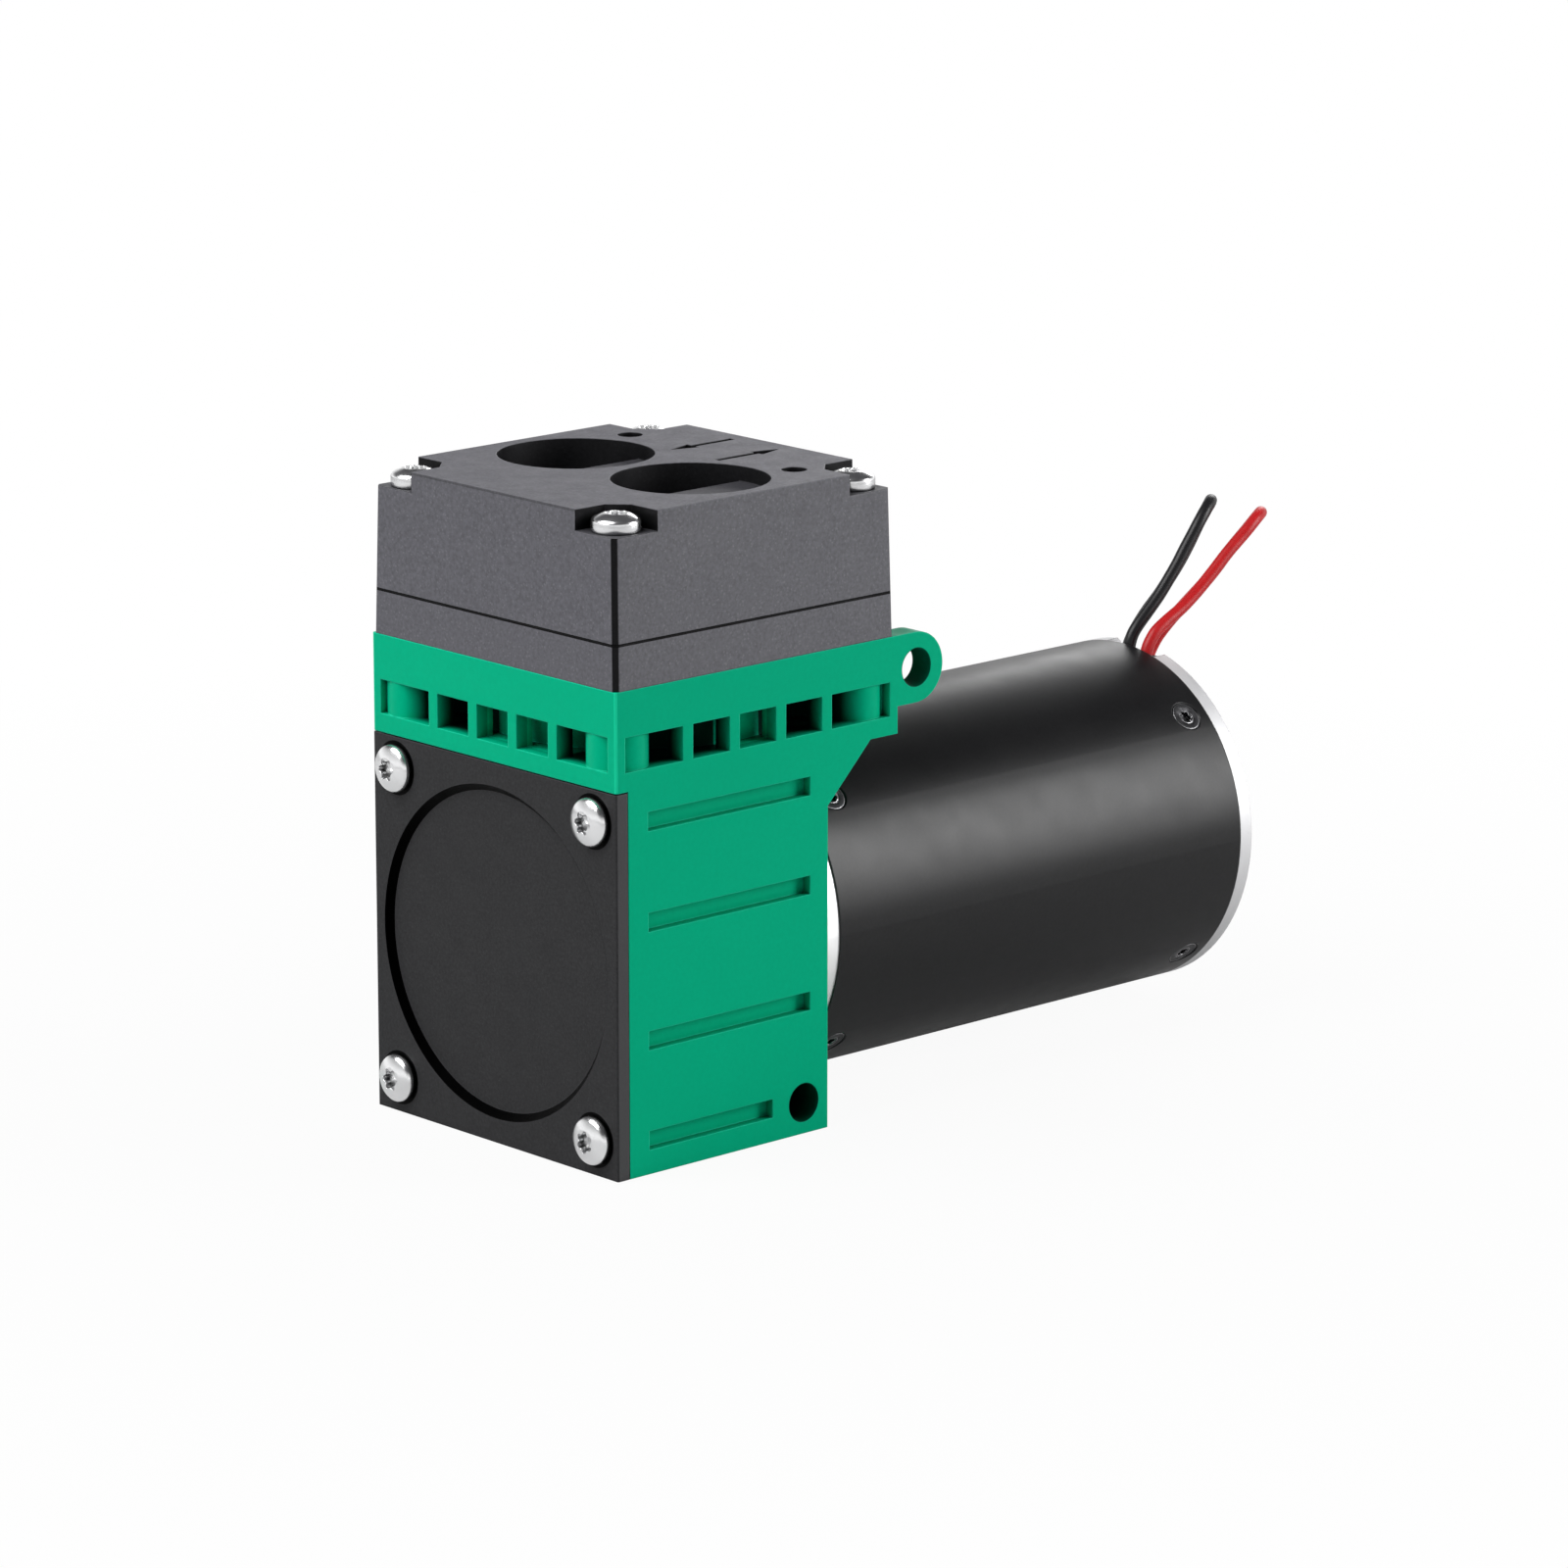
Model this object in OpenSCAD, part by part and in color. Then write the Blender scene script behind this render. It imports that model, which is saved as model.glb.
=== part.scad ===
// Diaphragm pump with a round motor: moulded crankcase, two-part head, crank drive and valves.
// X runs across the front cover, the motor points along +Y, Z is up, and the base lies at z = 0.

/* [Motor] */
// Radius of the motor tube, which also sets the width and height of the crankcase
motor_r = 21; // [20:0.1:22]
// Length of the motor tube
tube_l = 66.1; // [60:0.1:72]
// Wall thickness of the motor tube
tube_wall = 1.5; // [1.2:0.1:2]
// Thickness of the front flange's visible disc
flange_t = 2; // [1.6:0.1:3]
// Distance of the front flange's rim inside the tube's outline
flange_in = 0.2; // [0.2:0.1:1]
// Thickness of the rear cap's visible disc
cap_t = 2.4; // [2:0.1:3]
// Radius of the motor shaft
shaft_r = 2.5; // [2.4:0.05:2.6]
// Outer and inner radius and width of the motor bearings
motor_bearing = [6.5, 2.5, 4];
// Distance of the radial screws from the tube's front and rear end
tube_screw_in = [4.2, 3.3];
// Thickness of the stator's back iron
back_iron = 3.7; // [3:0.1:4.5]
// Distance from the back iron to the rotor magnet
slot_depth = 6; // [5:0.1:7]
// Length of the stator core
core_l = 26; // [20:0.5:28]
// Width of the lead outlet in the rear cap
outlet_w = 8; // [7:0.1:9]
// Diameter of the two leads
lead_d = 1.55; // [1.3:0.05:1.8]

/* [Crankcase] */
// Distance of the crankcase's sides outside the motor tube
side_out = 0.1; // [0:0.05:1]
// Depth of the lower crankcase block, front to back
body_d = 30.4; // [29.4:0.1:34]
// Clearance between the motor tube and the base plane
ground_gap = 1.3; // [0.8:0.1:3]
// Clearance between the motor tube and the band
band_gap = 1.5; // [1:0.1:3]
// Height of the ventilated band on top of the block
band_h = 11.5; // [11:0.1:14]
// Depth of the band, which overhangs the motor
band_d = 43.1; // [42.8:0.1:46]
// Thinnest wall beside the crank chamber
chamber_wall = 2.6; // [2:0.1:3.4]
// Radius of the moulded vertical edges
edge_r = 0.3; // [0.2:0.1:1]
// Reach of the gusset behind the block
gusset = 6.5; // [5:0.1:7]
// Radius of the mounting eyes at the back of the band
eye_r = 4.15; // [3.8:0.05:4.6]
// Thickness of the mounting eyes
eye_t = 3; // [2.4:0.1:3.6]
// Radius of the mounting holes
mount_r = 2.25; // [2.1:0.05:2.4]

/* [Vents and grooves] */
// Height of the vent windows
vent_h = 4; // [3:0.1:4.4]
// Height of the windows above the bottom of the band
vent_rise = 2.2; // [1.8:0.1:3]
// Width of the ribs between the windows
rib_w = 1.5; // [1.2:0.1:2]
// Depth of the ribs
rib_t = 2.4; // [2:0.1:2.6]
// Width of the posts at the corners of the band
post_w = 1.4; // [1.1:0.1:1.8]
// Depth of the narrow slots beside the corner posts
slot_t = 1.3; // [1:0.1:1.6]
// Radius of the columns around the head screws
column_r = 3.5; // [3.2:0.1:3.8]
// Thickness of the webs between the bowl and the columns
web_w = 1.6; // [1.2:0.1:2.4]
// Distance of the bowl's outside from the sides of the band
bowl_in = 3.3; // [2.8:0.1:3.8]
// Height of the side grooves
groove_h = 2.2; // [1.6:0.1:2.8]
// Depth of the side grooves
groove_t = 1.2; // [0.6:0.1:1.4]

/* [Front cover] */
// Thickness of the cover
cover_t = 1.8; // [1.5:0.1:2.4]
// Distance of the round recess from the sides of the cover
recess_in = 1.6; // [1:0.1:3]
// Depth and slope width of the recess
recess_t = 0.8; // [0.5:0.1:1]
// Distance of the cover screws from the sides of the cover
cover_screw_in = 4; // [3.6:0.1:4.4]

/* [Head] */
// Height of the valve plate
plate_h = 5.2; // [5:0.1:6]
// Height of the head cover
head_h = 14.4; // [13.6:0.1:17]
// Distance of the head's foot inside the crankcase's sides
head_in = 0.05; // [0:0.05:0.4]
// Slant of the head's sides and of its ends, bottom to top
head_slant = [0.5, 0.3];
// Size of the corner notches
notch = 6.4; // [6:0.1:6.8]
// Depth of the corner notches
notch_t = 2.4; // [2:0.1:3]
// Chamfer of the inner notch corners
notch_chamfer = 2.2; // [1.5:0.1:2.6]
// Chamfer of the head's vertical edges
head_chamfer = 0.6; // [0.3:0.1:0.9]
// Distance of the head screws from the sides and the ends of the head
head_screw_in = [3.75, 3.5];
// Thinnest wall beside a port pocket
port_wall = 1.6; // [1.2:0.05:2.2]
// Wall between the two port pockets
port_gap = 1.5; // [1:0.1:3]
// Depth of the shelf in a port pocket
shelf_t = 1.8; // [1.2:0.1:2.6]
// Depth of the deep part of a port pocket
port_t = 5.5; // [4.5:0.1:6]
// Distance of each shelf's edge from its pocket's middle, inlet and outlet
shelf_edge = [0.5, -1.7];
// Core radius of the threaded port bores
port_bore_r = 2.5; // [2:0.1:2.6]
// Length of the threaded port bores
port_bore_l = 6; // [5.5:0.1:6.2]
// Radius of the two accessory holes on the head
top_hole_r = 1.5; // [1:0.1:1.8]
// Depth of the accessory holes
top_hole_t = 8; // [4:0.5:9]
// Distance of the accessory holes from the head's sides
top_hole_in = 6.5; // [5.5:0.05:8]
// Distance of the accessory holes behind the head's middle
top_hole_y = 12; // [10:0.1:13]
// Depth of the two flow arrows
arrow_t = 0.4; // [0.2:0.05:0.6]

/* [Crank drive] */
// Throw of the eccentric, half the stroke
throw = 1.4; // [1:0.1:1.5]
// Depth of the diaphragm's middle below the top of the band
diaphragm_in = 3.4; // [3.2:0.1:3.6]
// Thickness of the connecting rod
rod_t = 5; // [4.6:0.1:5.2]
// Clearance between the connecting rod and the walls before and behind it
rod_gap = 1.2; // [0.8:0.1:1.8]
// Wall of the connecting rod's big end
rod_wall = 2.5; // [2:0.1:3]
// Outer and inner radius and width of the rod bearing
rod_bearing = [9.5, 5, 5];
// Clearance between the counterweight and the crank chamber
weight_gap = 3.5; // [2:0.1:5]
// Thickness of the counterweight
weight_t = 6.4; // [5:0.1:8]
// Thickness of the diaphragm at its rim
rim_t = 1.2; // [1:0.1:1.4]
// Width of the diaphragm's clamped rim
rim_w = 1.9; // [1.5:0.1:2.2]
// Thickness of the clamp disc
clamp_t = 1.5; // [1.2:0.1:2]

/* [Valves] */
// Distance of each valve from the head's middle
valve_x = 6; // [5.6:0.1:6.4]
// Radius of the valve discs
disc_r = 3.7; // [3.4:0.1:3.8]
// Thickness of the valve discs
disc_t = 0.7; // [0.6:0.05:0.8]
// Depth of the valve pockets
valve_pocket = 1.3; // [1.2:0.05:1.4]
// Height of the pumping chamber in the valve plate
chamber_h = 2.6; // [2.4:0.1:2.7]
// Thickness of the head gasket
gasket_t = 0.5; // [0.4:0.1:0.7]

/* [Fasteners] */
// Radius and height of the pan heads
pan_head = [2.8, 2];
// Radius of the screw shanks
shank_r = 1.45; // [1.3:0.05:1.5]
// Clearance between a screw and its hole
hole_gap = 0.1; // [0.05:0.05:0.2]
// Clearance of pressed and seated round fits
fit = 0.03; // [0.02:0.01:0.05]

/* [Hidden] */
eps = 0.01;
far = 200;

// Main planes
body_w = 2 * (motor_r + side_out);
axis_z = motor_r + ground_gap;
body_h = axis_z + motor_r + band_gap;
front_y = -body_d / 2 - cover_t;
rear_y = body_d / 2;
band_z = body_h;
head_z = body_h + band_h;
cover_z = head_z + plate_h;
top_z = cover_z + head_h;
band_y1 = front_y + band_d;
head_foot = [body_w - 2 * head_in, band_d - 2 * head_in - 0.5];
head_top = head_foot - 2 * head_slant;
mid_y = front_y + head_in + head_foot[1] / 2;
rod_y0 = mid_y - rod_t / 2;
rod_y1 = mid_y + rod_t / 2;
wall_y = rod_y1 + rod_gap;
chamber_r = body_w / 2 - chamber_wall;
cover_screw_x = body_w - 2 * cover_screw_in;
cover_screw_z = body_h - 2 * cover_screw_in + 0.1;
cover_mid_z = body_h / 2 + 0.15;
cover_gap = 0.15;
screw_bite = 8;
head_screw_x = head_foot[0] - 2 * head_screw_in[0];
head_screw_y = head_foot[1] - 2 * head_screw_in[1];

// Band and side grooves
vent_z = band_z + vent_rise;
rib_pitch_x = (body_w - 0.8) / 6;
rib_pitch_y = (band_d - 0.8) / 6;
bowl_wall_r = body_w / 2 - bowl_in;
groove_z = [0.088, 0.348, 0.654, 0.913] * body_h;
groove_in = 2.9;
foot_hole = [rear_y - 3.9, 3.7];
foot_clear = 4.8;
eye_y = band_y1 + 2.75;
eye_z = head_z - eye_r;

// Diaphragm and its bowl
bowl_r = bowl_wall_r - 3.3;
bowl_z = head_z - diaphragm_in * 2;
diaphragm_r = bowl_r + rim_w;
seat_gap = 0.1;
rest_z = axis_z - throw;
diaphragm_z = head_z - diaphragm_in;
web_t = 1;
disc_z = diaphragm_z + web_t;
pump_r = bowl_r - 0.7;
clamp_r = pump_r - 5.3;

// Connecting rod
rod_eye_r = rod_bearing[0] + rod_wall;
rod_head_r = clamp_r - 0.5;
rod_head_t = 2;
rod_neck_w = 7;
rod_passage = rod_head_r;
clamp_bite = 3;

// Crank drive along the shaft
shoulder_t = 1.4;
weight_r = chamber_r - weight_gap;
weight_y1 = rod_y0 - shoulder_t;
weight_y0 = weight_y1 - weight_t;
journal_y1 = rod_y1 + 0.2;
hub_r = 6.5;
weight_rise = 1.5;
set_screw_y = weight_y0 + 2.6;
shaft_y0 = weight_y0 - 0.5;

// Ports and valve plate
port_r = (head_top[0] / 2 - port_wall - port_gap / 2) / 2;
port_pitch = 2 * port_r + port_gap;
bore_in = port_r - 3.9;
top_hole_x = head_top[0] - 2 * top_hole_in;
arrow_l = 9.8;
arrow_head = [3.7, 2.2];
arrow_shaft_w = 0.9;
arrow_x = 4.05;
arrow_y = 14.1;
roof_z = head_z + chamber_h;
inlet_seat_z = roof_z + valve_pocket;
outlet_seat_z = cover_z - valve_pocket;
pocket_r = disc_r + 0.5;
stem_r = 0.9;
stem_gap = 0.1;
disc_lift = 0.4;
rivet_r = 1.5;
rivet_t = 0.4;
port_hole_r = 0.6;
port_hole_ring = 2.2;
inlet_x = -port_pitch / 2 - bore_in;
outlet_x = port_pitch / 2 - bore_in;
room_h = 3.5;
room_r = pocket_r - 0.9;
gasket_y = 6.5;
gasket_x = [inlet_x - 4.3, valve_x + 6.3];

// Motor along the shaft
tube_y0 = rear_y + flange_t;
tube_y1 = tube_y0 + tube_l;
cap_y1 = tube_y1 + cap_t;
flange_r = motor_r - flange_in;
bore_r = motor_r - tube_wall;
spigot_r = bore_r - 0.1;
spigot_wall = 3.4;
spigot_l = [7.4, 8];
flange_web = 2.8;
boss_r = motor_r - 10;
boss_l = 3;
bearing_boss_r = motor_bearing[0] + 2;
shaft_hole_r = shaft_r + 1.5;
front_bearing_y = tube_y0 + spigot_l[0] - motor_bearing[2];
washer_t = 0.6;
rear_pocket_y = tube_y1 - spigot_l[1];
rear_bearing_y = rear_pocket_y + 0.1;
rear_floor_y = rear_bearing_y + motor_bearing[2] + washer_t;
shaft_y1 = rear_floor_y - 0.2;
bore_gap = 0.25;
flange_screw_r = boss_r + pan_head[0] + bore_gap + 0.15;
flange_screw_y = wall_y + pan_head[1] + 1;
flange_screw_l = tube_y0 + flange_web - 0.6 - flange_screw_y;
core_y0 = tube_y0 + 15;
core_back_r = bore_r - back_iron;
magnet_r = core_back_r - slot_depth;
air_gap = 0.6;
tooth_w = 4;
teeth = 6;
coil_over = 3;
tip_gap = 1.4;
back_gap = 0.8;
coil_t = 1.6;
board_t = 1.6;
board_y = rear_pocket_y - board_t;
board_r = bore_r - 0.3;
board_screw_x = spigot_r - spigot_wall / 2;
board_screw = [1.6, 1.2, 0.8];
chip = [4.4, 1.3, 3.6];
chip_r = spigot_r - spigot_wall - 1;
tube_screw_r = 0.95;
outlet_mid = 1.95;
outlet_z = axis_z + motor_r - 3.4;
lead_z = outlet_z + 2;
lead_y = tube_y1 + cap_t / 2;

// Leads: routes from the grommet to the coils, points in mm
coil_pos = [-36, 70];
coil_r = 8.5;
coil_turns = 2;
coil_gap = 0.05;
tie_t = 0.4;
tie_w = 2.4;
coil_z = [tie_t, tie_t + lead_d + coil_gap];
black_route = [[0.5, 84.5, 41.9], [0.5, 84.7, 43], [0.5, 85.2, 44.1], [0.5, 86.1, 45.1],
    [0.5, 87.7, 46.5], [0.5, 89.6, 48.2], [0.5, 91.2, 49.9], [0.5, 92.8, 51.7], [0.5, 94.1, 53.4],
    [0.5, 95.4, 55], [0.5, 96.6, 56.5], [0.2, 98, 57.7], [-0.6, 99.6, 58.4], [-1.9, 101.1, 58.2],
    [-3.2, 102.2, 57.4], [-4.5, 102.6, 56], [-5.3, 102.3, 54.3], [-5.7, 101.3, 52.2],
    [-6.2, 100.1, 49.9], [-6.8, 98.8, 47.7], [-7.3, 97.5, 45.8], [-8, 96, 43.7], [-8.8, 94.6, 41],
    [-9.7, 94.2, 38], [-10.7, 94.6, 35.2], [-11.8, 95.3, 32.4], [-13.1, 96, 29.4], [-14.8, 96.5, 25.9],
    [-16.2, 96.7, 22.2], [-17.3, 96.8, 18.2], [-18, 96.8, 13.6], [-18.8, 96.4, 9], [-20.2, 95.4, 5],
    [-22.3, 93.5, 2.4], [-24.4, 90.9, 1.2], [-26, 87.5, 0.8], [-26.7, 83.8, 0.8], [-26.7, 80, 0.9],
    [-26.7, 76.6, 1.1], [-26.7, 73.6, 1.2]];
red_route = [[3.4, 84.5, 41.9], [3.4, 84.9, 43], [3.4, 85.5, 43.9], [3.4, 86.4, 44.8],
    [3.4, 88.2, 45.8], [3.4, 90.7, 47], [3.4, 93.4, 48.7], [3.4, 96.2, 50.8], [3.4, 98.7, 52.8],
    [3.4, 101, 54.4], [3.4, 102.4, 55.4], [3.1, 104, 56.3], [2.2, 105.7, 56.6], [0.9, 107, 56.2],
    [-0.6, 107.8, 55.2], [-1.9, 107.7, 53.7], [-2.8, 106.8, 52.1], [-3.2, 105.4, 50.6],
    [-3.4, 103.9, 49.1], [-3.7, 102.5, 47.7], [-4.2, 100.8, 46.1], [-4.8, 99.2, 44.5],
    [-5.6, 97.7, 42.7], [-6.6, 96.4, 40.4], [-7.8, 96, 37.4], [-9.2, 96.7, 34.2], [-10.8, 97.6, 30.6],
    [-12.5, 98.2, 26.6], [-13.9, 98.9, 22.4], [-15, 99.7, 18], [-16, 100.1, 13.4], [-17.1, 99.8, 9],
    [-18.8, 98.6, 5], [-21.3, 96.8, 2.4], [-24, 94.2, 1.1], [-26.5, 91, 0.8], [-28, 87.3, 0.8],
    [-28.5, 83.6, 1.1], [-28.1, 79.2, 2], [-26.7, 73.6, 2.8]];
coil_shift = lead_y - black_route[0][1];

// A box given by its lowest corner and its highest corner
module span(lo, hi) {
    translate(lo) cube(hi - lo);
}

// A cylinder along Y between two planes, about an axis at x, z
module rod_y(r, y0, y1, x = 0, z = axis_z, r2 = undef) {
    translate([x, y0, z]) rotate([-90, 0, 0])
        cylinder(h = y1 - y0, r1 = r, r2 = is_undef(r2) ? r : r2, $fn = 96);
}

// A ring along Y
module ring_y(r_out, r_in, y0, y1, x = 0, z = axis_z) {
    difference() {
        rod_y(r_out, y0, y1, x, z);
        rod_y(r_in, y0 - eps, y1 + eps, x, z);
    }
}

// A cylinder along Z
module rod_z(r, z0, z1, x = 0, y = 0, fn = 48) {
    translate([x, y, z0]) cylinder(h = z1 - z0, r = r, $fn = fn);
}

// A cylinder along X
module rod_x(r, x0, x1, y, z, fn = 48) {
    translate([x0, y, z]) rotate([0, 90, 0]) cylinder(h = x1 - x0, r = r, $fn = fn);
}

// An upright block with round vertical edges
module block(x, y0, y1, z0, z1, r) {
    span([-x, y0 + r, z0], [x, y1 - r, z1]);
    span([-x + r, y0, z0], [x - r, y1, z1]);
    for (sx = [-1, 1]) {
        rod_z(r, z0, z1, sx * (x - r), y0 + r, 24);
        rod_z(r, z0, z1, sx * (x - r), y1 - r, 24);
    }
}

// Four copies on a rectangle, children drawn at each corner
module corners_z(dx, dy, x = 0, y = 0) {
    for (sx = [-1, 1], sy = [-1, 1]) {
        translate([x + sx * dx / 2, y + sy * dy / 2, 0]) children();
    }
}

// A pan head screw along +Z, the underside of its head at z = 0 and its shank below
module pan_screw(length, head = pan_head, r = shank_r) {
    dome = head[1] * 0.7;
    dome_r = (head[0] * head[0] + dome * dome) / (2 * dome);
    reach = asin(head[0] / dome_r);
    recess = head[1] * 0.5;
    difference() {
        union() {
            rotate_extrude($fn = 32) polygon(concat([[0, 0], [head[0] - 0.15, 0], [head[0], 0.2]],
                [for (k = [5 : -1 : 1]) let (a = reach * k / 5)
                    [dome_r * sin(a), head[1] - dome_r + dome_r * cos(a)]],
                [[0, head[1]]]));
            rod_z(r, -length, eps, 0, 0, 24);
        }
        for (turn = [0, 60]) {
            rotate(turn) translate([0, 0, head[1] - recess]) cylinder(h = 2, r = head[0] * 0.5, $fn = 3);
        }
    }
}

// A countersunk screw along +Z, its flat face at z = 0
module flat_screw(length, head_r, r) {
    difference() {
        union() {
            translate([0, 0, -(head_r - r)]) cylinder(h = head_r - r, r1 = r, r2 = head_r, $fn = 32);
            rod_z(r, -length, eps - (head_r - r), 0, 0, 24);
        }
        for (turn = [0, 60]) {
            rotate(turn) translate([0, 0, -0.7]) cylinder(h = 1, r = head_r * 0.5, $fn = 3);
        }
    }
}

// Places children on the motor's circle, their +Z pointing outwards, at each 45 degree point
module around_motor(y) {
    for (turn = [45, 135, 225, 315]) {
        translate([0, y, axis_z]) rotate([0, turn, 0]) children();
    }
}

// The spaces of the band: windows all round, with ribs, columns and the bowl left standing
module vent_space() {
    low = vent_z - 1;
    high = vent_z + vent_h + 1;
    half = body_w / 2;
    difference() {
        union() {
            span([-far, front_y + post_w, vent_z], [far, band_y1 - post_w, high - 1]);
            span([-half + post_w, front_y - 1, vent_z], [half - post_w, band_y1, high - 1]);
        }
        rod_z(bowl_wall_r, low, high, 0, mid_y, 96);
        corners_z(head_screw_x, head_screw_y, 0, mid_y) rod_z(column_r, low, high);
        // Webs from the bowl to the columns, and the corner blocks behind the slots
        for (turn = [45 : 90 : 315]) {
            translate([0, mid_y, 0]) rotate(turn)
                span([bowl_wall_r - 1, -web_w / 2, low], [head_screw_x * sqrt(0.5), web_w / 2, high]);
        }
        for (x = [-half + slot_t, half - slot_t - column_r]) {
            for (y = [front_y + slot_t, band_y1 - slot_t - column_r]) {
                span([x, y, low], [x + column_r, y + column_r, high]);
            }
        }
        for (n = [-1.5 : 1 : 1.5]) {
            rib_x = n * rib_pitch_x;
            rib_y = mid_y + n * rib_pitch_y;
            for (y = [front_y, band_y1 - rib_t]) {
                span([rib_x - rib_w / 2, y, low], [rib_x + rib_w / 2, y + rib_t, high]);
            }
            for (x = [-half, half - rib_t]) {
                span([x, rib_y - rib_w / 2, low], [x + rib_t, rib_y + rib_w / 2, high]);
            }
        }
    }
}

module crankcase() {
    half = body_w / 2;
    passage_y = rod_y0 - rod_gap;
    motor_gap = 0.4;
    color([0, 0.66, 0.5]) difference() {
        union() {
            block(half, front_y + cover_t, rear_y, 0, band_z + eps, edge_r);
            span([-half, front_y + cover_t, 0], [half, 0, band_z]);
            block(half, front_y, band_y1, band_z, head_z, edge_r);
            translate([-half, 0, 0]) rotate([90, 0, 90]) linear_extrude(body_w)
                polygon([[rear_y - 1, band_z - gusset - 1], [rear_y, band_z - gusset],
                    [rear_y + gusset, band_z + eps], [rear_y - 1, band_z + eps]]);
            for (x = [-half, half - eye_t]) {
                rod_x(eye_r, x, x + eye_t, eye_y, eye_z, 64);
                span([x, band_y1 - 1, eye_z - eye_r], [x + eye_t, eye_y, eye_z + eye_r]);
            }
        }
        // Crank chamber, rod passage and diaphragm bowl
        rod_y(chamber_r, -far, wall_y);
        span([-rod_passage, passage_y, axis_z], [rod_passage, wall_y, bowl_z + 1]);
        rod_z(bowl_r, bowl_z, far, 0, mid_y, 96);
        rod_z(diaphragm_r + seat_gap, head_z - rim_t, far, 0, mid_y, 96);
        // Motor seat and the room for the motor under the band
        rod_y(boss_r, wall_y - 1, far);
        rod_y(motor_r + motor_gap, rear_y, far);
        around_motor(0) translate([0, 0, flange_screw_r]) rotate([-90, 0, 0]) {
            rod_z(shank_r + hole_gap, 0, far);
            rod_z(pan_head[0] + bore_gap, 0, flange_screw_y);
        }
        // Screw holes of the cover and the head
        for (sx = [-1, 1], sz = [-1, 1]) {
            rod_y(shank_r + hole_gap, front_y, front_y + cover_t + screw_bite + 0.2, sx * cover_screw_x / 2,
                cover_mid_z + sz * cover_screw_z / 2);
        }
        corners_z(head_screw_x, head_screw_y, 0, mid_y)
            rod_z(shank_r + hole_gap, head_z - screw_bite - 1, far);
        vent_space();
        // Side grooves, the lowest one shortened by the mounting hole
        for (sx = [-1, 1], n = [0 : 3]) {
            y1 = n == 0 ? foot_hole[0] - foot_clear : rear_y - groove_in;
            translate([sx * half, 0, 0]) span([-groove_t, -rear_y + groove_in, groove_z[n] - groove_h / 2],
                [groove_t, y1, groove_z[n] + groove_h / 2]);
        }
        rod_x(mount_r, -far, far, foot_hole[0], foot_hole[1]);
        rod_x(mount_r, -far, far, eye_y, eye_z);
    }
}

module front_cover() {
    half = body_w / 2;
    recess_r = half - recess_in;
    color([0.2, 0.2, 0.21]) difference() {
        block(half, front_y, front_y + cover_t, 0, body_h - cover_gap, edge_r - 0.1);
        rod_y(recess_r, front_y - eps, front_y + recess_t, 0, axis_z + 0.1, recess_r - recess_t);
        for (sx = [-1, 1], sz = [-1, 1]) {
            rod_y(shank_r + hole_gap, -far, far, sx * cover_screw_x / 2,
                cover_mid_z + sz * cover_screw_z / 2);
        }
    }
}

module cover_screws() {
    color([0.85, 0.86, 0.88]) for (sx = [-1, 1], sz = [-1, 1]) {
        translate([sx * cover_screw_x / 2, front_y, cover_mid_z + sz * cover_screw_z / 2])
            rotate([90, 0, 0]) pan_screw(cover_t + screw_bite);
    }
}

// Dished rubber disc: a thick rim, a convolution and a flat middle clamped to the rod
module diaphragm() {
    rim_r = bowl_r - 0.4;
    hub = clamp_r + 0.4;
    low = head_z - rim_t;
    color([0.12, 0.12, 0.12]) difference() {
        translate([0, mid_y, 0]) rotate_extrude($fn = 96) polygon([[0, diaphragm_z],
            [hub, diaphragm_z], [rim_r, low], [diaphragm_r, low], [diaphragm_r, head_z],
            [rim_r - 0.6, head_z], [hub - 0.2, disc_z], [0, disc_z]]);
        rod_z(shank_r + hole_gap, 0, far, 0, mid_y);
    }
}

module clamp_disc_piece() {
    sink = clamp_t - 0.1;
    hole = shank_r + hole_gap;
    color([0.78, 0.79, 0.8]) difference() {
        rod_z(clamp_r, disc_z, disc_z + clamp_t, 0, mid_y, 64);
        rod_z(hole, 0, far, 0, mid_y);
        translate([0, mid_y, disc_z + clamp_t - sink])
            cylinder(h = sink + eps, r1 = hole, r2 = hole + sink + eps, $fn = 48);
    }
}

module clamp_screw() {
    sink = clamp_t - 0.1;
    color([0.75, 0.76, 0.78]) translate([0, mid_y, disc_z + clamp_t])
        flat_screw(clamp_t + web_t + rod_head_t + clamp_bite, shank_r + sink, shank_r);
}

module connecting_rod() {
    color([0.8, 0.8, 0.82]) difference() {
        union() {
            rod_y(rod_eye_r, rod_y0, rod_y1, 0, rest_z);
            span([-rod_neck_w / 2, rod_y0, rest_z], [rod_neck_w / 2, rod_y1, diaphragm_z - rod_head_t / 2]);
            rod_z(rod_head_r, diaphragm_z - rod_head_t, diaphragm_z, 0, mid_y, 64);
        }
        rod_y(rod_bearing[0] + fit, -far, far, 0, rest_z);
        rod_z(shank_r + hole_gap, diaphragm_z - rod_head_t - clamp_bite - 0.4, far, 0, mid_y);
    }
}

// Ball bearing parts from outer radius, inner radius and width
function ring_part(size) = (size[0] - size[1]) * 0.32;

module bearing_outer(size, y, z) {
    color([0.8, 0.81, 0.83]) ring_y(size[0], size[0] - ring_part(size), y, y + size[2], 0, z);
}

module bearing_inner(size, y, z) {
    color([0.8, 0.81, 0.83]) ring_y(size[1] + ring_part(size), size[1] + fit, y, y + size[2], 0, z);
}

module bearing_balls(size, y, z, count) {
    middle = (size[0] + size[1]) / 2;
    ball = (size[0] - size[1]) / 2 - ring_part(size) - 0.06;
    color([0.9, 0.9, 0.92]) for (n = [0 : count - 1]) {
        a = n * 360 / count;
        translate([middle * cos(a), y + size[2] / 2, z + middle * sin(a)]) sphere(r = ball, $fn = 16);
    }
}

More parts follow.
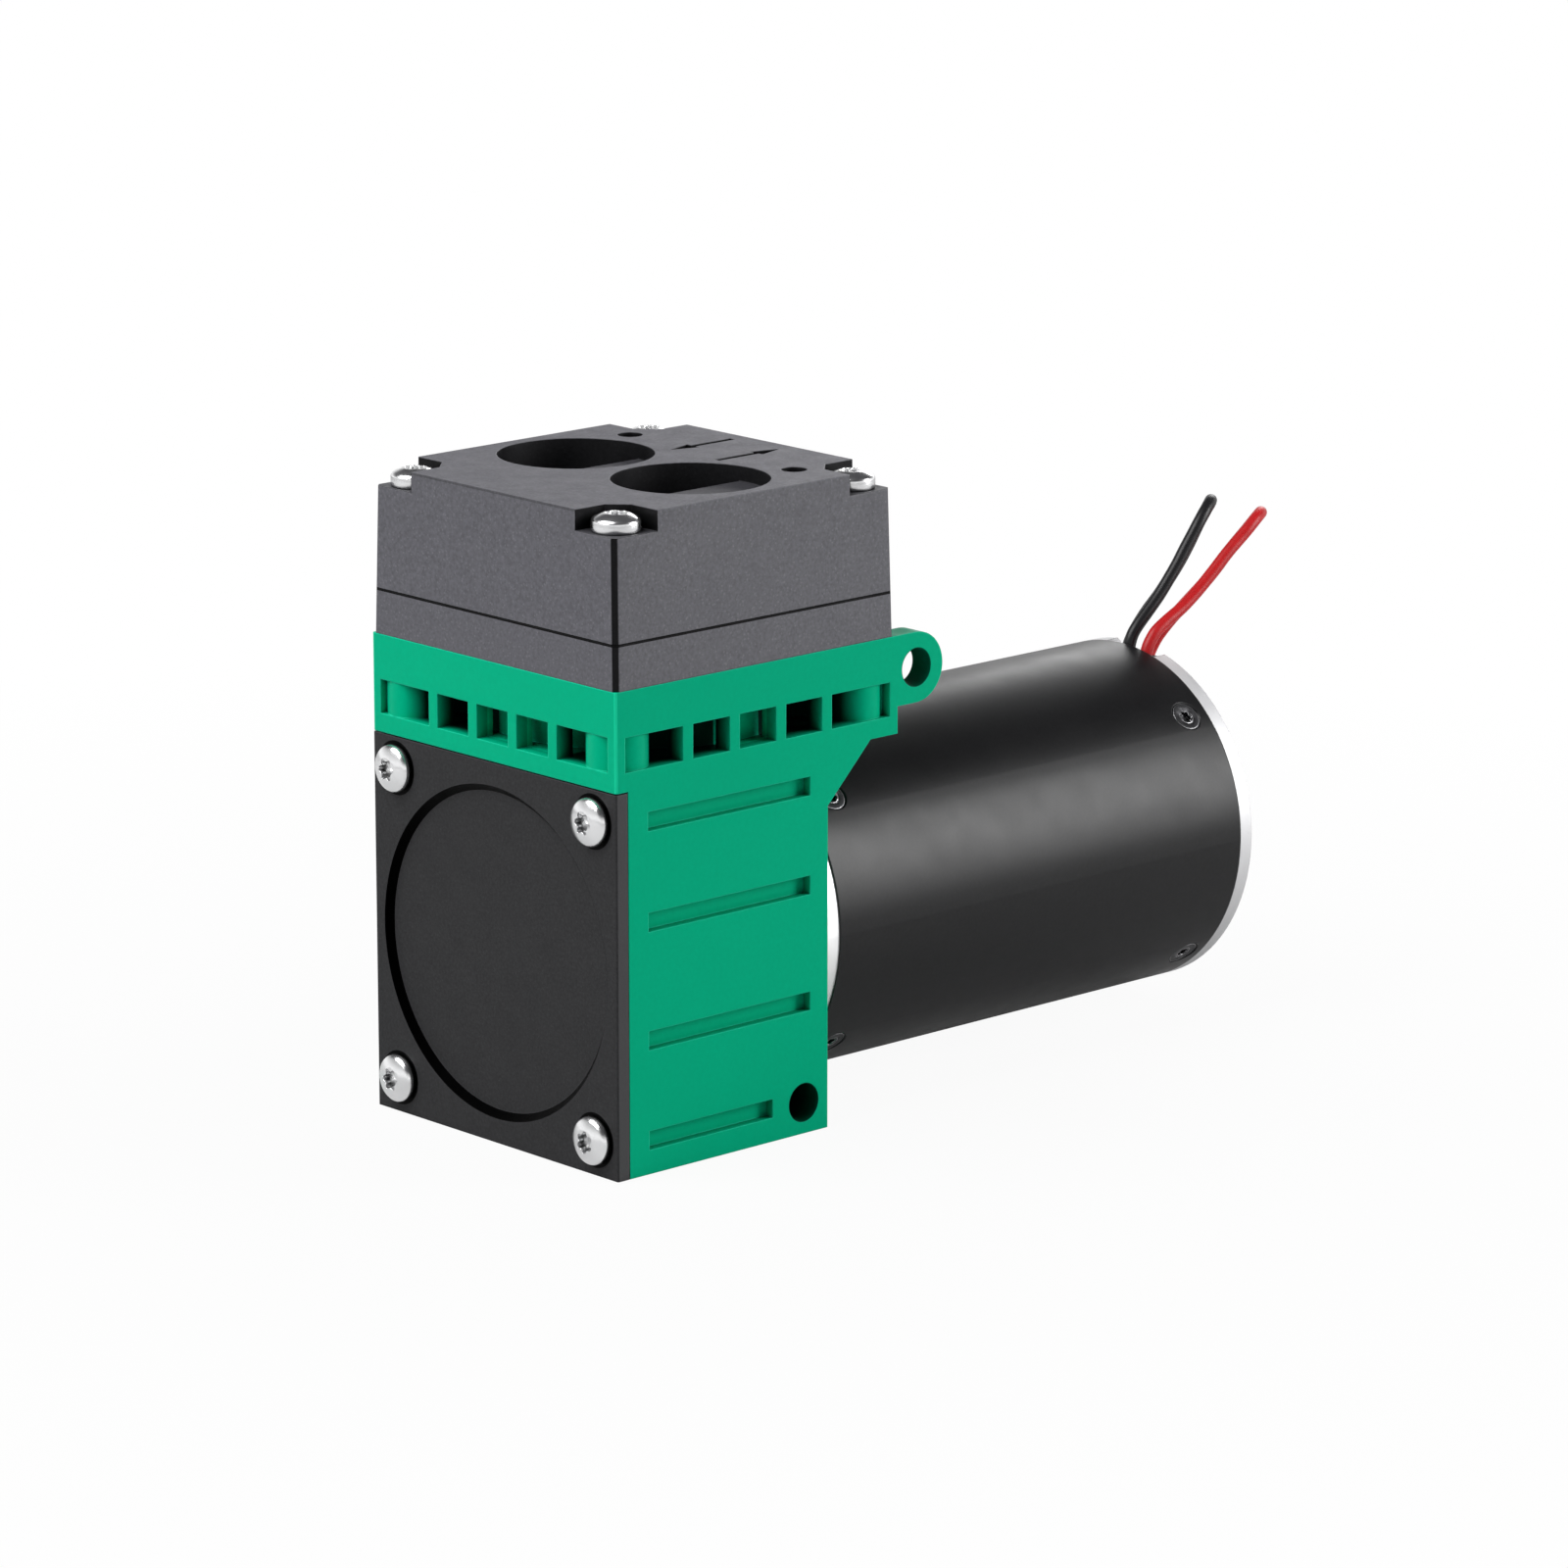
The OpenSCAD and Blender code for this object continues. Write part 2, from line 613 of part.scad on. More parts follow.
module rod_bearing_outer_ring() {
    bearing_outer(rod_bearing, rod_y0, rest_z);
}

module rod_bearing_balls() {
    bearing_balls(rod_bearing, rod_y0, rest_z, 9);
}

module rod_bearing_inner_ring() {
    bearing_inner(rod_bearing, rod_y0, rest_z);
}

// Hub with a half-round counterweight, a shoulder and the offset journal for the rod bearing
module eccentric_counterweight() {
    color([0.72, 0.73, 0.75]) difference() {
        union() {
            rod_y(hub_r, weight_y0, weight_y1);
            difference() {
                rod_y(weight_r, weight_y0, weight_y1);
                span([-far, -far, -far], [far, far, axis_z + weight_rise]);
            }
            rod_y(rod_bearing[1] + 1, weight_y1, rod_y0, 0, rest_z);
            rod_y(rod_bearing[1], rod_y0, journal_y1, 0, rest_z);
        }
        rod_y(shaft_r + fit, -far, far);
        rod_x(shank_r + hole_gap, 0, far, set_screw_y, axis_z);
    }
}

module eccentric_set_screw() {
    color([0.3, 0.3, 0.32]) difference() {
        rod_x(shank_r, shaft_r + fit, hub_r - 0.3, set_screw_y, axis_z, 24);
        translate([hub_r - 1.5, set_screw_y, axis_z]) rotate([0, 90, 0]) cylinder(h = 2, r = 0.85, $fn = 6);
    }
}

module motor_shaft() {
    color([0.85, 0.85, 0.86]) rod_y(shaft_r, shaft_y0, shaft_y1);
}

module rotor_magnet() {
    color([0.35, 0.36, 0.38]) ring_y(magnet_r, shaft_r + fit, core_y0 - 1, core_y0 + core_l + 1);
}

module front_bearing_outer_ring() {
    bearing_outer(motor_bearing, front_bearing_y, axis_z);
}

module front_bearing_balls() {
    bearing_balls(motor_bearing, front_bearing_y, axis_z, 7);
}

module front_bearing_inner_ring() {
    bearing_inner(motor_bearing, front_bearing_y, axis_z);
}

module rear_bearing_outer_ring() {
    bearing_outer(motor_bearing, rear_bearing_y, axis_z);
}

module rear_bearing_balls() {
    bearing_balls(motor_bearing, rear_bearing_y, axis_z, 7);
}

module rear_bearing_inner_ring() {
    bearing_inner(motor_bearing, rear_bearing_y, axis_z);
}

module wave_washer() {
    y0 = rear_bearing_y + motor_bearing[2];
    color([0.7, 0.72, 0.76]) ring_y(motor_bearing[0] - 0.2, motor_bearing[0] - 2, y0, y0 + washer_t);
}

// Front flange: visible disc, register boss, spigot in the tube and the bearing's seat
module motor_front_flange() {
    spigot_y1 = tube_y0 + spigot_l[0];
    web_y = tube_y0 + flange_web;
    color([0.88, 0.88, 0.9]) difference() {
        union() {
            rod_y(flange_r, rear_y, tube_y0);
            rod_y(boss_r - fit, rear_y - boss_l, rear_y + eps);
            rod_y(spigot_r, tube_y0 - eps, web_y);
            ring_y(spigot_r, spigot_r - spigot_wall, web_y - eps, spigot_y1);
            rod_y(bearing_boss_r, web_y - eps, spigot_y1);
        }
        rod_y(shaft_hole_r, -far, far);
        rod_y(motor_bearing[0] + fit, front_bearing_y, far);
        around_motor(0) translate([0, 0, flange_screw_r]) rotate([-90, 0, 0])
            rod_z(shank_r + hole_gap, 0, web_y - 0.4);
        around_motor(tube_y0 + tube_screw_in[0]) rod_z(tube_screw_r + 0.05, spigot_r - spigot_wall - 1, far);
    }
}

module flange_screws() {
    color([0.75, 0.76, 0.78]) around_motor(flange_screw_y) translate([0, 0, flange_screw_r])
        rotate([90, 0, 0]) pan_screw(flange_screw_l);
}

module motor_tube() {
    hole = tube_screw_r + hole_gap;
    color([0.1, 0.1, 0.11]) difference() {
        ring_y(motor_r, bore_r, tube_y0, tube_y1);
        for (y = [tube_y0 + tube_screw_in[0], tube_y1 - tube_screw_in[1]]) {
            around_motor(y) {
                rod_z(hole, bore_r - 2, far);
                translate([0, 0, motor_r - hole]) cylinder(h = 2, r1 = hole, r2 = hole + 2, $fn = 32);
            }
        }
    }
}

module tube_screws() {
    color([0.08, 0.08, 0.09]) for (y = [tube_y0 + tube_screw_in[0], tube_y1 - tube_screw_in[1]]) {
        around_motor(y) translate([0, 0, motor_r - 0.15])
            flat_screw(tube_wall + 2.1, tube_screw_r + 0.9, tube_screw_r);
    }
}

module stator_core() {
    y1 = core_y0 + core_l;
    color([0.45, 0.46, 0.48]) {
        ring_y(bore_r - fit, core_back_r, core_y0, y1);
        for (n = [0 : teeth - 1]) {
            translate([0, 0, axis_z]) rotate([0, n * 360 / teeth, 0]) difference() {
                span([-tooth_w / 2, core_y0, magnet_r], [tooth_w / 2, y1, core_back_r + 0.5]);
                rod_y(magnet_r + air_gap, -far, far, 0, 0);
            }
        }
    }
}

module stator_windings() {
    y0 = core_y0 - coil_over;
    y1 = core_y0 + core_l + coil_over;
    gap = 0.1;
    color([0.75, 0.4, 0.15]) for (n = [0 : teeth - 1]) {
        translate([0, 0, axis_z]) rotate([0, n * 360 / teeth, 0]) difference() {
            span([-tooth_w / 2 - coil_t, y0, magnet_r + tip_gap],
                [tooth_w / 2 + coil_t, y1, core_back_r - back_gap]);
            span([-tooth_w / 2 - gap, core_y0 - gap, 0], [tooth_w / 2 + gap, core_y0 + core_l + gap, far]);
        }
    }
}

module driver_board() {
    color([0.05, 0.35, 0.2]) difference() {
        ring_y(board_r, bearing_boss_r + 0.6, board_y, board_y + board_t);
        for (sx = [-1, 1]) {
            rod_y(board_screw[2] + hole_gap, -far, far, sx * board_screw_x);
        }
    }
    color([0.1, 0.1, 0.1]) for (turn = [30 : 60 : 330]) {
        translate([0, board_y, axis_z]) rotate([0, turn, 0])
            span([-chip[0] / 2, -chip[1], chip_r - chip[2]], [chip[0] / 2, 0, chip_r]);
    }
}

module board_screws() {
    color([0.8, 0.8, 0.82]) for (sx = [-1, 1]) {
        translate([sx * board_screw_x, board_y, axis_z]) rotate([90, 0, 0])
            pan_screw(board_t + 3.4, [board_screw[0], board_screw[1]], board_screw[2]);
    }
}

// Rear cap: visible disc, spigot ring in the tube, bearing seat and the notch for the leads
module motor_rear_cap() {
    rim = 0.5;
    color([0.88, 0.88, 0.9]) difference() {
        union() {
            rod_y(motor_r, tube_y1, cap_y1 - rim);
            rod_y(motor_r, cap_y1 - rim - eps, cap_y1, 0, axis_z, motor_r - rim);
            ring_y(spigot_r, spigot_r - spigot_wall, rear_pocket_y, tube_y1 + eps);
            rod_y(bearing_boss_r, rear_pocket_y, tube_y1 + eps);
        }
        rod_y(motor_bearing[0] + fit, -far, rear_floor_y);
        around_motor(tube_y1 - tube_screw_in[1])
            rod_z(tube_screw_r + 0.05, spigot_r - spigot_wall - 1, motor_r - 0.2);
        for (sx = [-1, 1]) {
            rod_y(board_screw[2] + 0.05, 0, rear_pocket_y + 4, sx * board_screw_x);
        }
        span([outlet_mid - outlet_w / 2, -far, outlet_z], [outlet_mid + outlet_w / 2, far, far]);
    }
}

module lead_grommet() {
    side = 0.05;
    color([0.07, 0.07, 0.08]) span([outlet_mid - outlet_w / 2 + side, tube_y1 + side, outlet_z],
        [outlet_mid + outlet_w / 2 - side, cap_y1 - side, lead_z]);
}

// Tapered head shape between two heights, its vertical edges chamfered
function head_half(z, n) =
    (head_foot[n] + (head_top[n] - head_foot[n]) * (z - head_z) / (top_z - head_z)) / 2;

module head_slab(z) {
    x = head_half(z, 0);
    y = head_half(z, 1);
    c = head_chamfer;
    translate([0, mid_y, z]) linear_extrude(eps) polygon([[-x + c, -y], [x - c, -y], [x, -y + c],
        [x, y - c], [x - c, y], [-x + c, y], [-x, y - c], [-x, -y + c]]);
}

module head_block(z0, z1) {
    hull() {
        head_slab(z0);
        head_slab(z1 - eps);
    }
}

// A room with round ends along X between two centres
module room(x0, x1, z0, z1, r) {
    rod_z(r, z0, z1, x0, mid_y);
    rod_z(r, z0, z1, x1, mid_y);
    span([x0, mid_y - r, z0], [x1, mid_y + r, z1]);
}

module valve_plate() {
    gasket_z = cover_z - gasket_t;
    reach = disc_t + disc_lift + 0.05;
    color([0.36, 0.36, 0.38]) {
        difference() {
            head_block(head_z, cover_z);
            rod_z(pump_r, head_z - 1, roof_z, 0, mid_y, 96);
            corners_z(head_screw_x, head_screw_y, 0, mid_y) rod_z(shank_r + hole_gap, 0, far);
            rod_z(pocket_r, head_z, inlet_seat_z, -valve_x, mid_y);
            rod_z(pocket_r, outlet_seat_z, far, valve_x, mid_y);
            for (n = [0 : 5], s = [-1, 1]) {
                rod_z(port_hole_r, roof_z - 1, far, s * valve_x + port_hole_ring * cos(60 * n),
                    mid_y + port_hole_ring * sin(60 * n), 16);
            }
            span([gasket_x[0], mid_y - gasket_y, gasket_z], [gasket_x[1], mid_y + gasket_y, far]);
        }
        rod_z(stem_r, inlet_seat_z - reach - rivet_t, inlet_seat_z + eps, -valve_x, mid_y, 24);
        rod_z(rivet_r, inlet_seat_z - reach - rivet_t, inlet_seat_z - reach, -valve_x, mid_y, 24);
        rod_z(stem_r, outlet_seat_z - eps, outlet_seat_z + reach + rivet_t, valve_x, mid_y, 24);
        rod_z(rivet_r, outlet_seat_z + reach, outlet_seat_z + reach + rivet_t, valve_x, mid_y, 24);
    }
}

module valve_disc(x, z) {
    color([0.1, 0.1, 0.1]) difference() {
        rod_z(disc_r, z, z + disc_t, x, mid_y);
        rod_z(stem_r + stem_gap, z - 1, z + 2, x, mid_y);
    }
}

module inlet_valve_disc() {
    valve_disc(-valve_x, inlet_seat_z - disc_t);
}

module outlet_valve_disc() {
    valve_disc(valve_x, outlet_seat_z);
}

module head_gasket() {
    z0 = cover_z - gasket_t;
    side = 0.1;
    color([0.15, 0.15, 0.16]) difference() {
        span([gasket_x[0] + side, mid_y - gasket_y + side, z0],
            [gasket_x[1] - side, mid_y + gasket_y - side, cover_z]);
        room(inlet_x + 1, -valve_x, z0 - 1, far, room_r);
        rod_z(pocket_r, z0 - 1, far, valve_x, mid_y);
    }
}

// One port pocket: shelf on the +X side, deep part on the -X side, threaded bore in the deep part
module port(x, edge, bore_x) {
    rod_z(port_r, top_z - shelf_t, far, x, mid_y, 96);
    difference() {
        rod_z(port_r, top_z - port_t, far, x, mid_y, 96);
        span([x + edge, -far, 0], [x + far, far, far]);
    }
    rod_z(port_bore_r, top_z - port_t - port_bore_l, top_z - port_t + eps, bore_x, mid_y);
}

// Flow arrow around its middle, pointing along +Y, its floor at z = 0
module flow_arrow() {
    tip = arrow_l / 2;
    neck = tip - arrow_head[0];
    half = arrow_shaft_w / 2;
    linear_extrude(far) polygon([[-half, -tip], [half, -tip], [half, neck], [arrow_head[1] / 2, neck],
        [0, tip], [-arrow_head[1] / 2, neck], [-half, neck]]);
}

module head_cover() {
    room_z = cover_z + room_h;
    color([0.38, 0.38, 0.4]) difference() {
        head_block(cover_z, top_z);
        corners_z(head_screw_x, head_screw_y, 0, mid_y) rod_z(shank_r + hole_gap, 0, far);
        for (sx = [-1, 1], sy = [-1, 1]) {
            translate([sx * head_top[0] / 2, mid_y + sy * head_top[1] / 2, top_z - notch_t])
                scale([-sx, -sy, 1]) linear_extrude(far) polygon([[-5, -5], [notch, -5],
                    [notch, notch - notch_chamfer], [notch - notch_chamfer, notch], [-5, notch]]);
        }
        port(-port_pitch / 2, shelf_edge[0], inlet_x);
        port(port_pitch / 2, shelf_edge[1], outlet_x);
        room(inlet_x + 1, -valve_x, cover_z - 1, room_z, room_r);
        rod_z(pocket_r, cover_z - 1, room_z, valve_x, mid_y);
        for (sx = [-1, 1]) {
            rod_z(top_hole_r, top_z - top_hole_t, far, sx * top_hole_x / 2, mid_y + top_hole_y);
            translate([sx * arrow_x, mid_y + arrow_y, top_z - arrow_t])
                rotate(sx > 0 ? 0 : 180) flow_arrow();
        }
    }
}

module head_screws() {
    color([0.85, 0.86, 0.88]) corners_z(head_screw_x, head_screw_y, 0, mid_y)
        translate([0, 0, top_z - notch_t]) pan_screw(plate_h + head_h - notch_t + screw_bite);
}

// Tube along a route: one ring of points square to the path at each point, closed at both ends
function unit(v) = v / norm(v);
function heading(path, n) = unit(path[min(n + 1, len(path) - 1)] - path[max(n - 1, 0)]);
function ring_of(path, n, r, sides) =
    let (t = n == 0 ? [0, 0, 1] : heading(path, n), u = unit(cross(t, [1, 0.2, 0.35])), v = cross(t, u))
    [for (k = [0 : sides - 1]) path[n] + r * (u * cos(k * 360 / sides) + v * sin(k * 360 / sides))];

// The routes are drawn for the sizes above: they stretch upwards and shift back with the outlet
function placed(route) =
    let (k = (lead_z - lead_d / 2) / (route[0][2] - lead_d / 2), shift = lead_y - route[0][1])
    [for (p = route) [p[0], p[1] + shift, lead_d / 2 + (p[2] - lead_d / 2) * k]];

module lead(route, shade) {
    path = placed(route);
    sides = 8;
    last = len(path) - 1;
    rings = [for (n = [0 : last]) each ring_of(path, n, lead_d / 2, sides)];
    walls = [for (n = [0 : last - 1], k = [0 : sides - 1]) let (a = n * sides + k,
        b = n * sides + (k + 1) % sides) each [[a, a + sides, b], [b, a + sides, b + sides]]];
    start = [for (k = [0 : sides - 1]) k];
    end = [for (k = [sides - 1 : -1 : 0]) last * sides + k];
    color(shade) polyhedron(points = rings, faces = concat([start], walls, [end]));
}

module lead_coil(z, shade) {
    half = coil_turns * lead_d / 2;
    color(shade) translate([coil_pos[0], coil_pos[1] + coil_shift, z]) rotate_extrude($fn = 48)
        translate([coil_r - half, 0]) square([2 * half, lead_d]);
}

module black_lead() {
    lead(black_route, [0.1, 0.1, 0.11]);
}

module red_lead() {
    lead(red_route, [0.75, 0.08, 0.08]);
}

module black_lead_coil() {
    lead_coil(coil_z[0], [0.1, 0.1, 0.11]);
}

module red_lead_coil() {
    lead_coil(coil_z[1], [0.75, 0.08, 0.08]);
}

// Flat tie around both coils
module lead_tie() {
    gap = 0.2;
    half = coil_turns * lead_d / 2 + gap;
    top = coil_z[1] + lead_d;
    tie_y = coil_pos[1] + coil_shift - tie_w / 2;
    color([0.15, 0.15, 0.15]) translate([coil_pos[0] - coil_r, tie_y, 0]) difference() {
        span([-half - tie_t, 0, 0], [half + tie_t, tie_w, top + gap + tie_t]);
        span([-half, -1, tie_t - eps], [half, tie_w + 1, top + gap]);
    }
}

crankcase();
front_cover();
cover_screws();
diaphragm();
clamp_disc_piece();  // clamp_disc
clamp_screw();
connecting_rod();
rod_bearing_outer_ring();
rod_bearing_balls();
rod_bearing_inner_ring();
eccentric_counterweight();
eccentric_set_screw();
motor_shaft();
rotor_magnet();
front_bearing_outer_ring();
front_bearing_balls();
front_bearing_inner_ring();
rear_bearing_outer_ring();
rear_bearing_balls();
rear_bearing_inner_ring();
wave_washer();
motor_front_flange();
flange_screws();
motor_tube();
tube_screws();
stator_core();
stator_windings();
driver_board();
board_screws();
motor_rear_cap();
lead_grommet();
valve_plate();
inlet_valve_disc();
outlet_valve_disc();
head_gasket();
head_cover();
head_screws();
black_lead();
red_lead();
black_lead_coil();
red_lead_coil();
lead_tie();
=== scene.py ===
"""Looks of the diaphragm pump: camera, leads, screws, threads, materials, lights and floor."""
import math
import random

import bmesh
import bpy
from mathutils import Matrix, Vector


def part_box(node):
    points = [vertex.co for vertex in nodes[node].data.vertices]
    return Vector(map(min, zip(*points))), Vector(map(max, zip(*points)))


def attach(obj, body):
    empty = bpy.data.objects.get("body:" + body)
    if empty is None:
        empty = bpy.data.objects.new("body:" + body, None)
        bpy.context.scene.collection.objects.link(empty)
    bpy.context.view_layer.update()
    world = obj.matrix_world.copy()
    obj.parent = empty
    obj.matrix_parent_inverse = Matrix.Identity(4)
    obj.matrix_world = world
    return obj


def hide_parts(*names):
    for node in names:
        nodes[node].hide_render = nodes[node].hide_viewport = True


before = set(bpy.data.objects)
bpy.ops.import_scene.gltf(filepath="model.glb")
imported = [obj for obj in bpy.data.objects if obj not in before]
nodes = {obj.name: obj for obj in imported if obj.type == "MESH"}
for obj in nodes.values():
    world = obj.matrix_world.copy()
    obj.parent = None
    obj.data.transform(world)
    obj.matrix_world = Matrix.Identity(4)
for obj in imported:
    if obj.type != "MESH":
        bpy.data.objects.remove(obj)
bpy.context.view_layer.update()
scene = bpy.context.scene
scene.view_settings.view_transform = "Standard"
MM = 0.001

# Places and sizes of the CAD model that the screws and the masks follow, in mm
AXIS_Z = 22.3
BAND_HALF_W = 21.1
BAND_FRONT = -17
BAND_MID_Y = 4.55
BAND_REAR = 26.1
BAND_FOOT = 44.85
WINDOWS_Z = (45.6, 55.8)
EYE_BORE = (28.85, 52.15)
FOOT_HOLE = (11.3, 3.7)
HEAD_HALF_W = 21.05
HEAD_HALF_D = 21.25
HEAD_MID_Y = 4.3
HEAD_FOOT = 56.3
HEAD_H = 19.6
HEAD_TOP = 75.84
COVER_SCREW_X = 17.1
COVER_SCREW_UP = 18.45
COVER_MID_Z = 22.55
RECESS_MID_Z = 22.4

# The usual values of a noise texture
NOISE_LOW, NOISE_HIGH = 0.3, 0.7


# Camera, at the place and the angle the photo was taken from
def make_camera():
    cam = bpy.data.cameras.new("camera")
    cam.lens = 160.33
    cam.sensor_width = 36
    cam.clip_start = 0.05
    cam.clip_end = 20
    obj = bpy.data.objects.new("camera", cam)
    back = Vector((0.71427, -0.65754, 0.23970)).normalized()
    right = Vector((0.6773, 0.7357, 0)).normalized()
    up = back.cross(right)
    turn = Matrix((right, up, back)).transposed().to_4x4()
    spot = Vector((584.848, -510.746, 231.001)) * MM
    obj.matrix_world = Matrix.Translation(spot) @ turn
    scene.collection.objects.link(obj)
    scene.camera = obj


# Mesh helpers
def by_angle(mesh, degrees):
    """Smooth shading with sharp edges above an angle."""
    bm = bmesh.new()
    bm.from_mesh(mesh)
    bmesh.ops.recalc_face_normals(bm, faces=bm.faces)
    limit = math.radians(degrees)
    for edge in bm.edges:
        if len(edge.link_faces) == 2:
            edge.smooth = edge.calc_face_angle(0) < limit
    bm.to_mesh(mesh)
    bm.free()


def add_mesh(name, shape, look, degrees):
    """A piece of the housing, smooth but for the edges above an angle."""
    mesh = bpy.data.meshes.new(name)
    mesh.from_pydata([Vector(v) * MM for v in shape.verts], [], shape.faces)
    mesh.validate()
    mesh.polygons.foreach_set("use_smooth", [True] * len(mesh.polygons))
    obj = bpy.data.objects.new(name, mesh)
    scene.collection.objects.link(obj)
    mesh.materials.append(look)
    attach(obj, "housing")
    by_angle(mesh, degrees)
    return obj


class Shape:
    """Points and faces gathered for one mesh, in mm."""

    def __init__(self):
        self.verts = []
        self.faces = []

    def rings(self, rings, cap_start=False, cap_end=False):
        """Join closed rings of equally many points, one after the other."""
        base = len(self.verts)
        count = len(rings[0])
        for ring in rings:
            self.verts.extend(tuple(p) for p in ring)
        for n in range(len(rings) - 1):
            for k in range(count):
                a = base + n * count + k
                b = base + n * count + (k + 1) % count
                self.faces.append((a, b, b + count, a + count))
        if cap_start:
            self.faces.append(tuple(base + k for k in reversed(range(count))))
        if cap_end:
            top = base + (len(rings) - 1) * count
            self.faces.append(tuple(top + k for k in range(count)))

    def put(self, other, matrix):
        """Add a copy of another shape, moved by a matrix that doesn't mirror it."""
        base = len(self.verts)
        self.verts.extend(tuple(matrix @ Vector(v)) for v in other.verts)
        self.faces.extend(tuple(base + k for k in face) for face in other.faces)


def circle(r, z, count):
    return [(r * math.cos(2 * math.pi * k / count), r * math.sin(2 * math.pi * k / count), z)
            for k in range(count)]


def lobes(r, depth, z, count):
    """Six-lobe drive outline with round valleys and round lobes."""
    ring = []
    for k in range(count):
        a = 2 * math.pi * k / count
        wave = math.cos(6 * a)
        wave = math.copysign(abs(wave) ** 0.75, wave)
        ring.append(((r + depth * wave) * math.cos(a), (r + depth * wave) * math.sin(a), z))
    return ring


def blend_rings(a, b, t, z):
    return [(p[0] + (q[0] - p[0]) * t, p[1] + (q[1] - p[1]) * t, z) for p, q in zip(a, b)]


def shank(shape, r, length, pitch, thread_l, count=20):
    """Screw shank below z = 0 with a helical thread on its last part."""
    top = thread_l - length
    core = r - 0.2
    tip = core * 0.85
    tip_l = 0.6
    flank = 1.6
    shape.rings([circle(r, top, count), circle(r, 0, count)])
    ring_count = int(thread_l / pitch * 4)
    rows = []
    for n in range(ring_count + 1):
        z = top - thread_l * (1 - n / ring_count)
        fade = min(1, (z - top + thread_l) / tip_l)
        row = []
        for k in range(count):
            a = 2 * math.pi * k / count
            phase = ((z - top) / pitch + k / count) % 1
            crest = 1 - abs(2 * phase - 1)
            rr = core + (r - core) * min(1, crest * flank)
            rr = tip + (rr - tip) * fade
            row.append((rr * math.cos(a), rr * math.sin(a), z))
        rows.append(row)
    shape.rings(rows, cap_start=True)


def pan_head(r, h, drive, sink, ball=5.0, count=72):
    """Pan head with a straight side, a round top and a six-lobe drive, its underside at z = 0."""

    def top(rr):
        return h - ball + math.sqrt(ball * ball - rr * rr)

    shoulder = top(r)
    dome = 0.32
    profile = [(r * 0.5, 0), (r - 0.15, 0), (r - 0.04, 0.05), (r, 0.16), (r, shoulder - 0.3),
               (r - 0.03, shoulder - 0.14), (r - 0.1, shoulder - 0.02),
               (r - 0.2, top(r - 0.2) - 0.02), (r - dome, top(r - dome))]
    edge = drive + 0.3
    steps = 6
    for n in range(1, steps + 1):
        rr = r - dome + (edge - r + dome) * n / steps
        profile.append((rr, top(rr)))
    rows = [circle(rr, z, count) for rr, z in profile]
    depth = drive * 0.16
    flat = top(edge)
    floor = h - sink
    rim = circle(edge, flat, count)
    outline = lobes(drive, depth, flat, count)
    inner = lobes(drive * 0.97, depth, flat - 0.08, count)
    deep = lobes(drive * 0.93, depth, floor, count)
    rows += [blend_rings(rim, outline, 0.6, flat + 0.03),
             blend_rings(rim, outline, 0.95, flat + 0.03),
             inner, blend_rings(inner, deep, 0.5, h - sink * 0.7), deep,
             circle(drive * 0.45, floor - 0.12, count)]
    shape = Shape()
    shape.rings(rows, cap_end=True)
    return shape


def flat_head(r, h, core, drive, sink, count=48):
    """Countersunk head with a six-lobe drive, its flat face at z = 0."""
    rim = circle(r, 0, count)
    outline = lobes(drive, drive * 0.13, 0, count)
    rows = [circle(core, -h, count), circle(r - 0.06, -0.08, count), rim,
            blend_rings(rim, outline, 0.3, 0.005), blend_rings(rim, outline, 0.9, 0.0),
            lobes(drive * 0.97, drive * 0.13, -0.07, count),
            lobes(drive * 0.93, drive * 0.12, -sink, count),
            circle(drive * 0.4, -sink - 0.08, count)]
    shape = Shape()
    shape.rings(rows, cap_end=True)
    return shape


# Materials
def add_node(tree, kind, values=None, **settings):
    """A shader node with its settings, and with plain values on its inputs."""
    made = tree.nodes.new(kind)
    for key, value in settings.items():
        setattr(made, key, value)
    for key, value in (values or {}).items():
        made.inputs[key].default_value = value
    return made


def tinted(colour, share):
    """A colour times a number, at most 1."""
    return tuple(min(1, c * share) for c in colour)


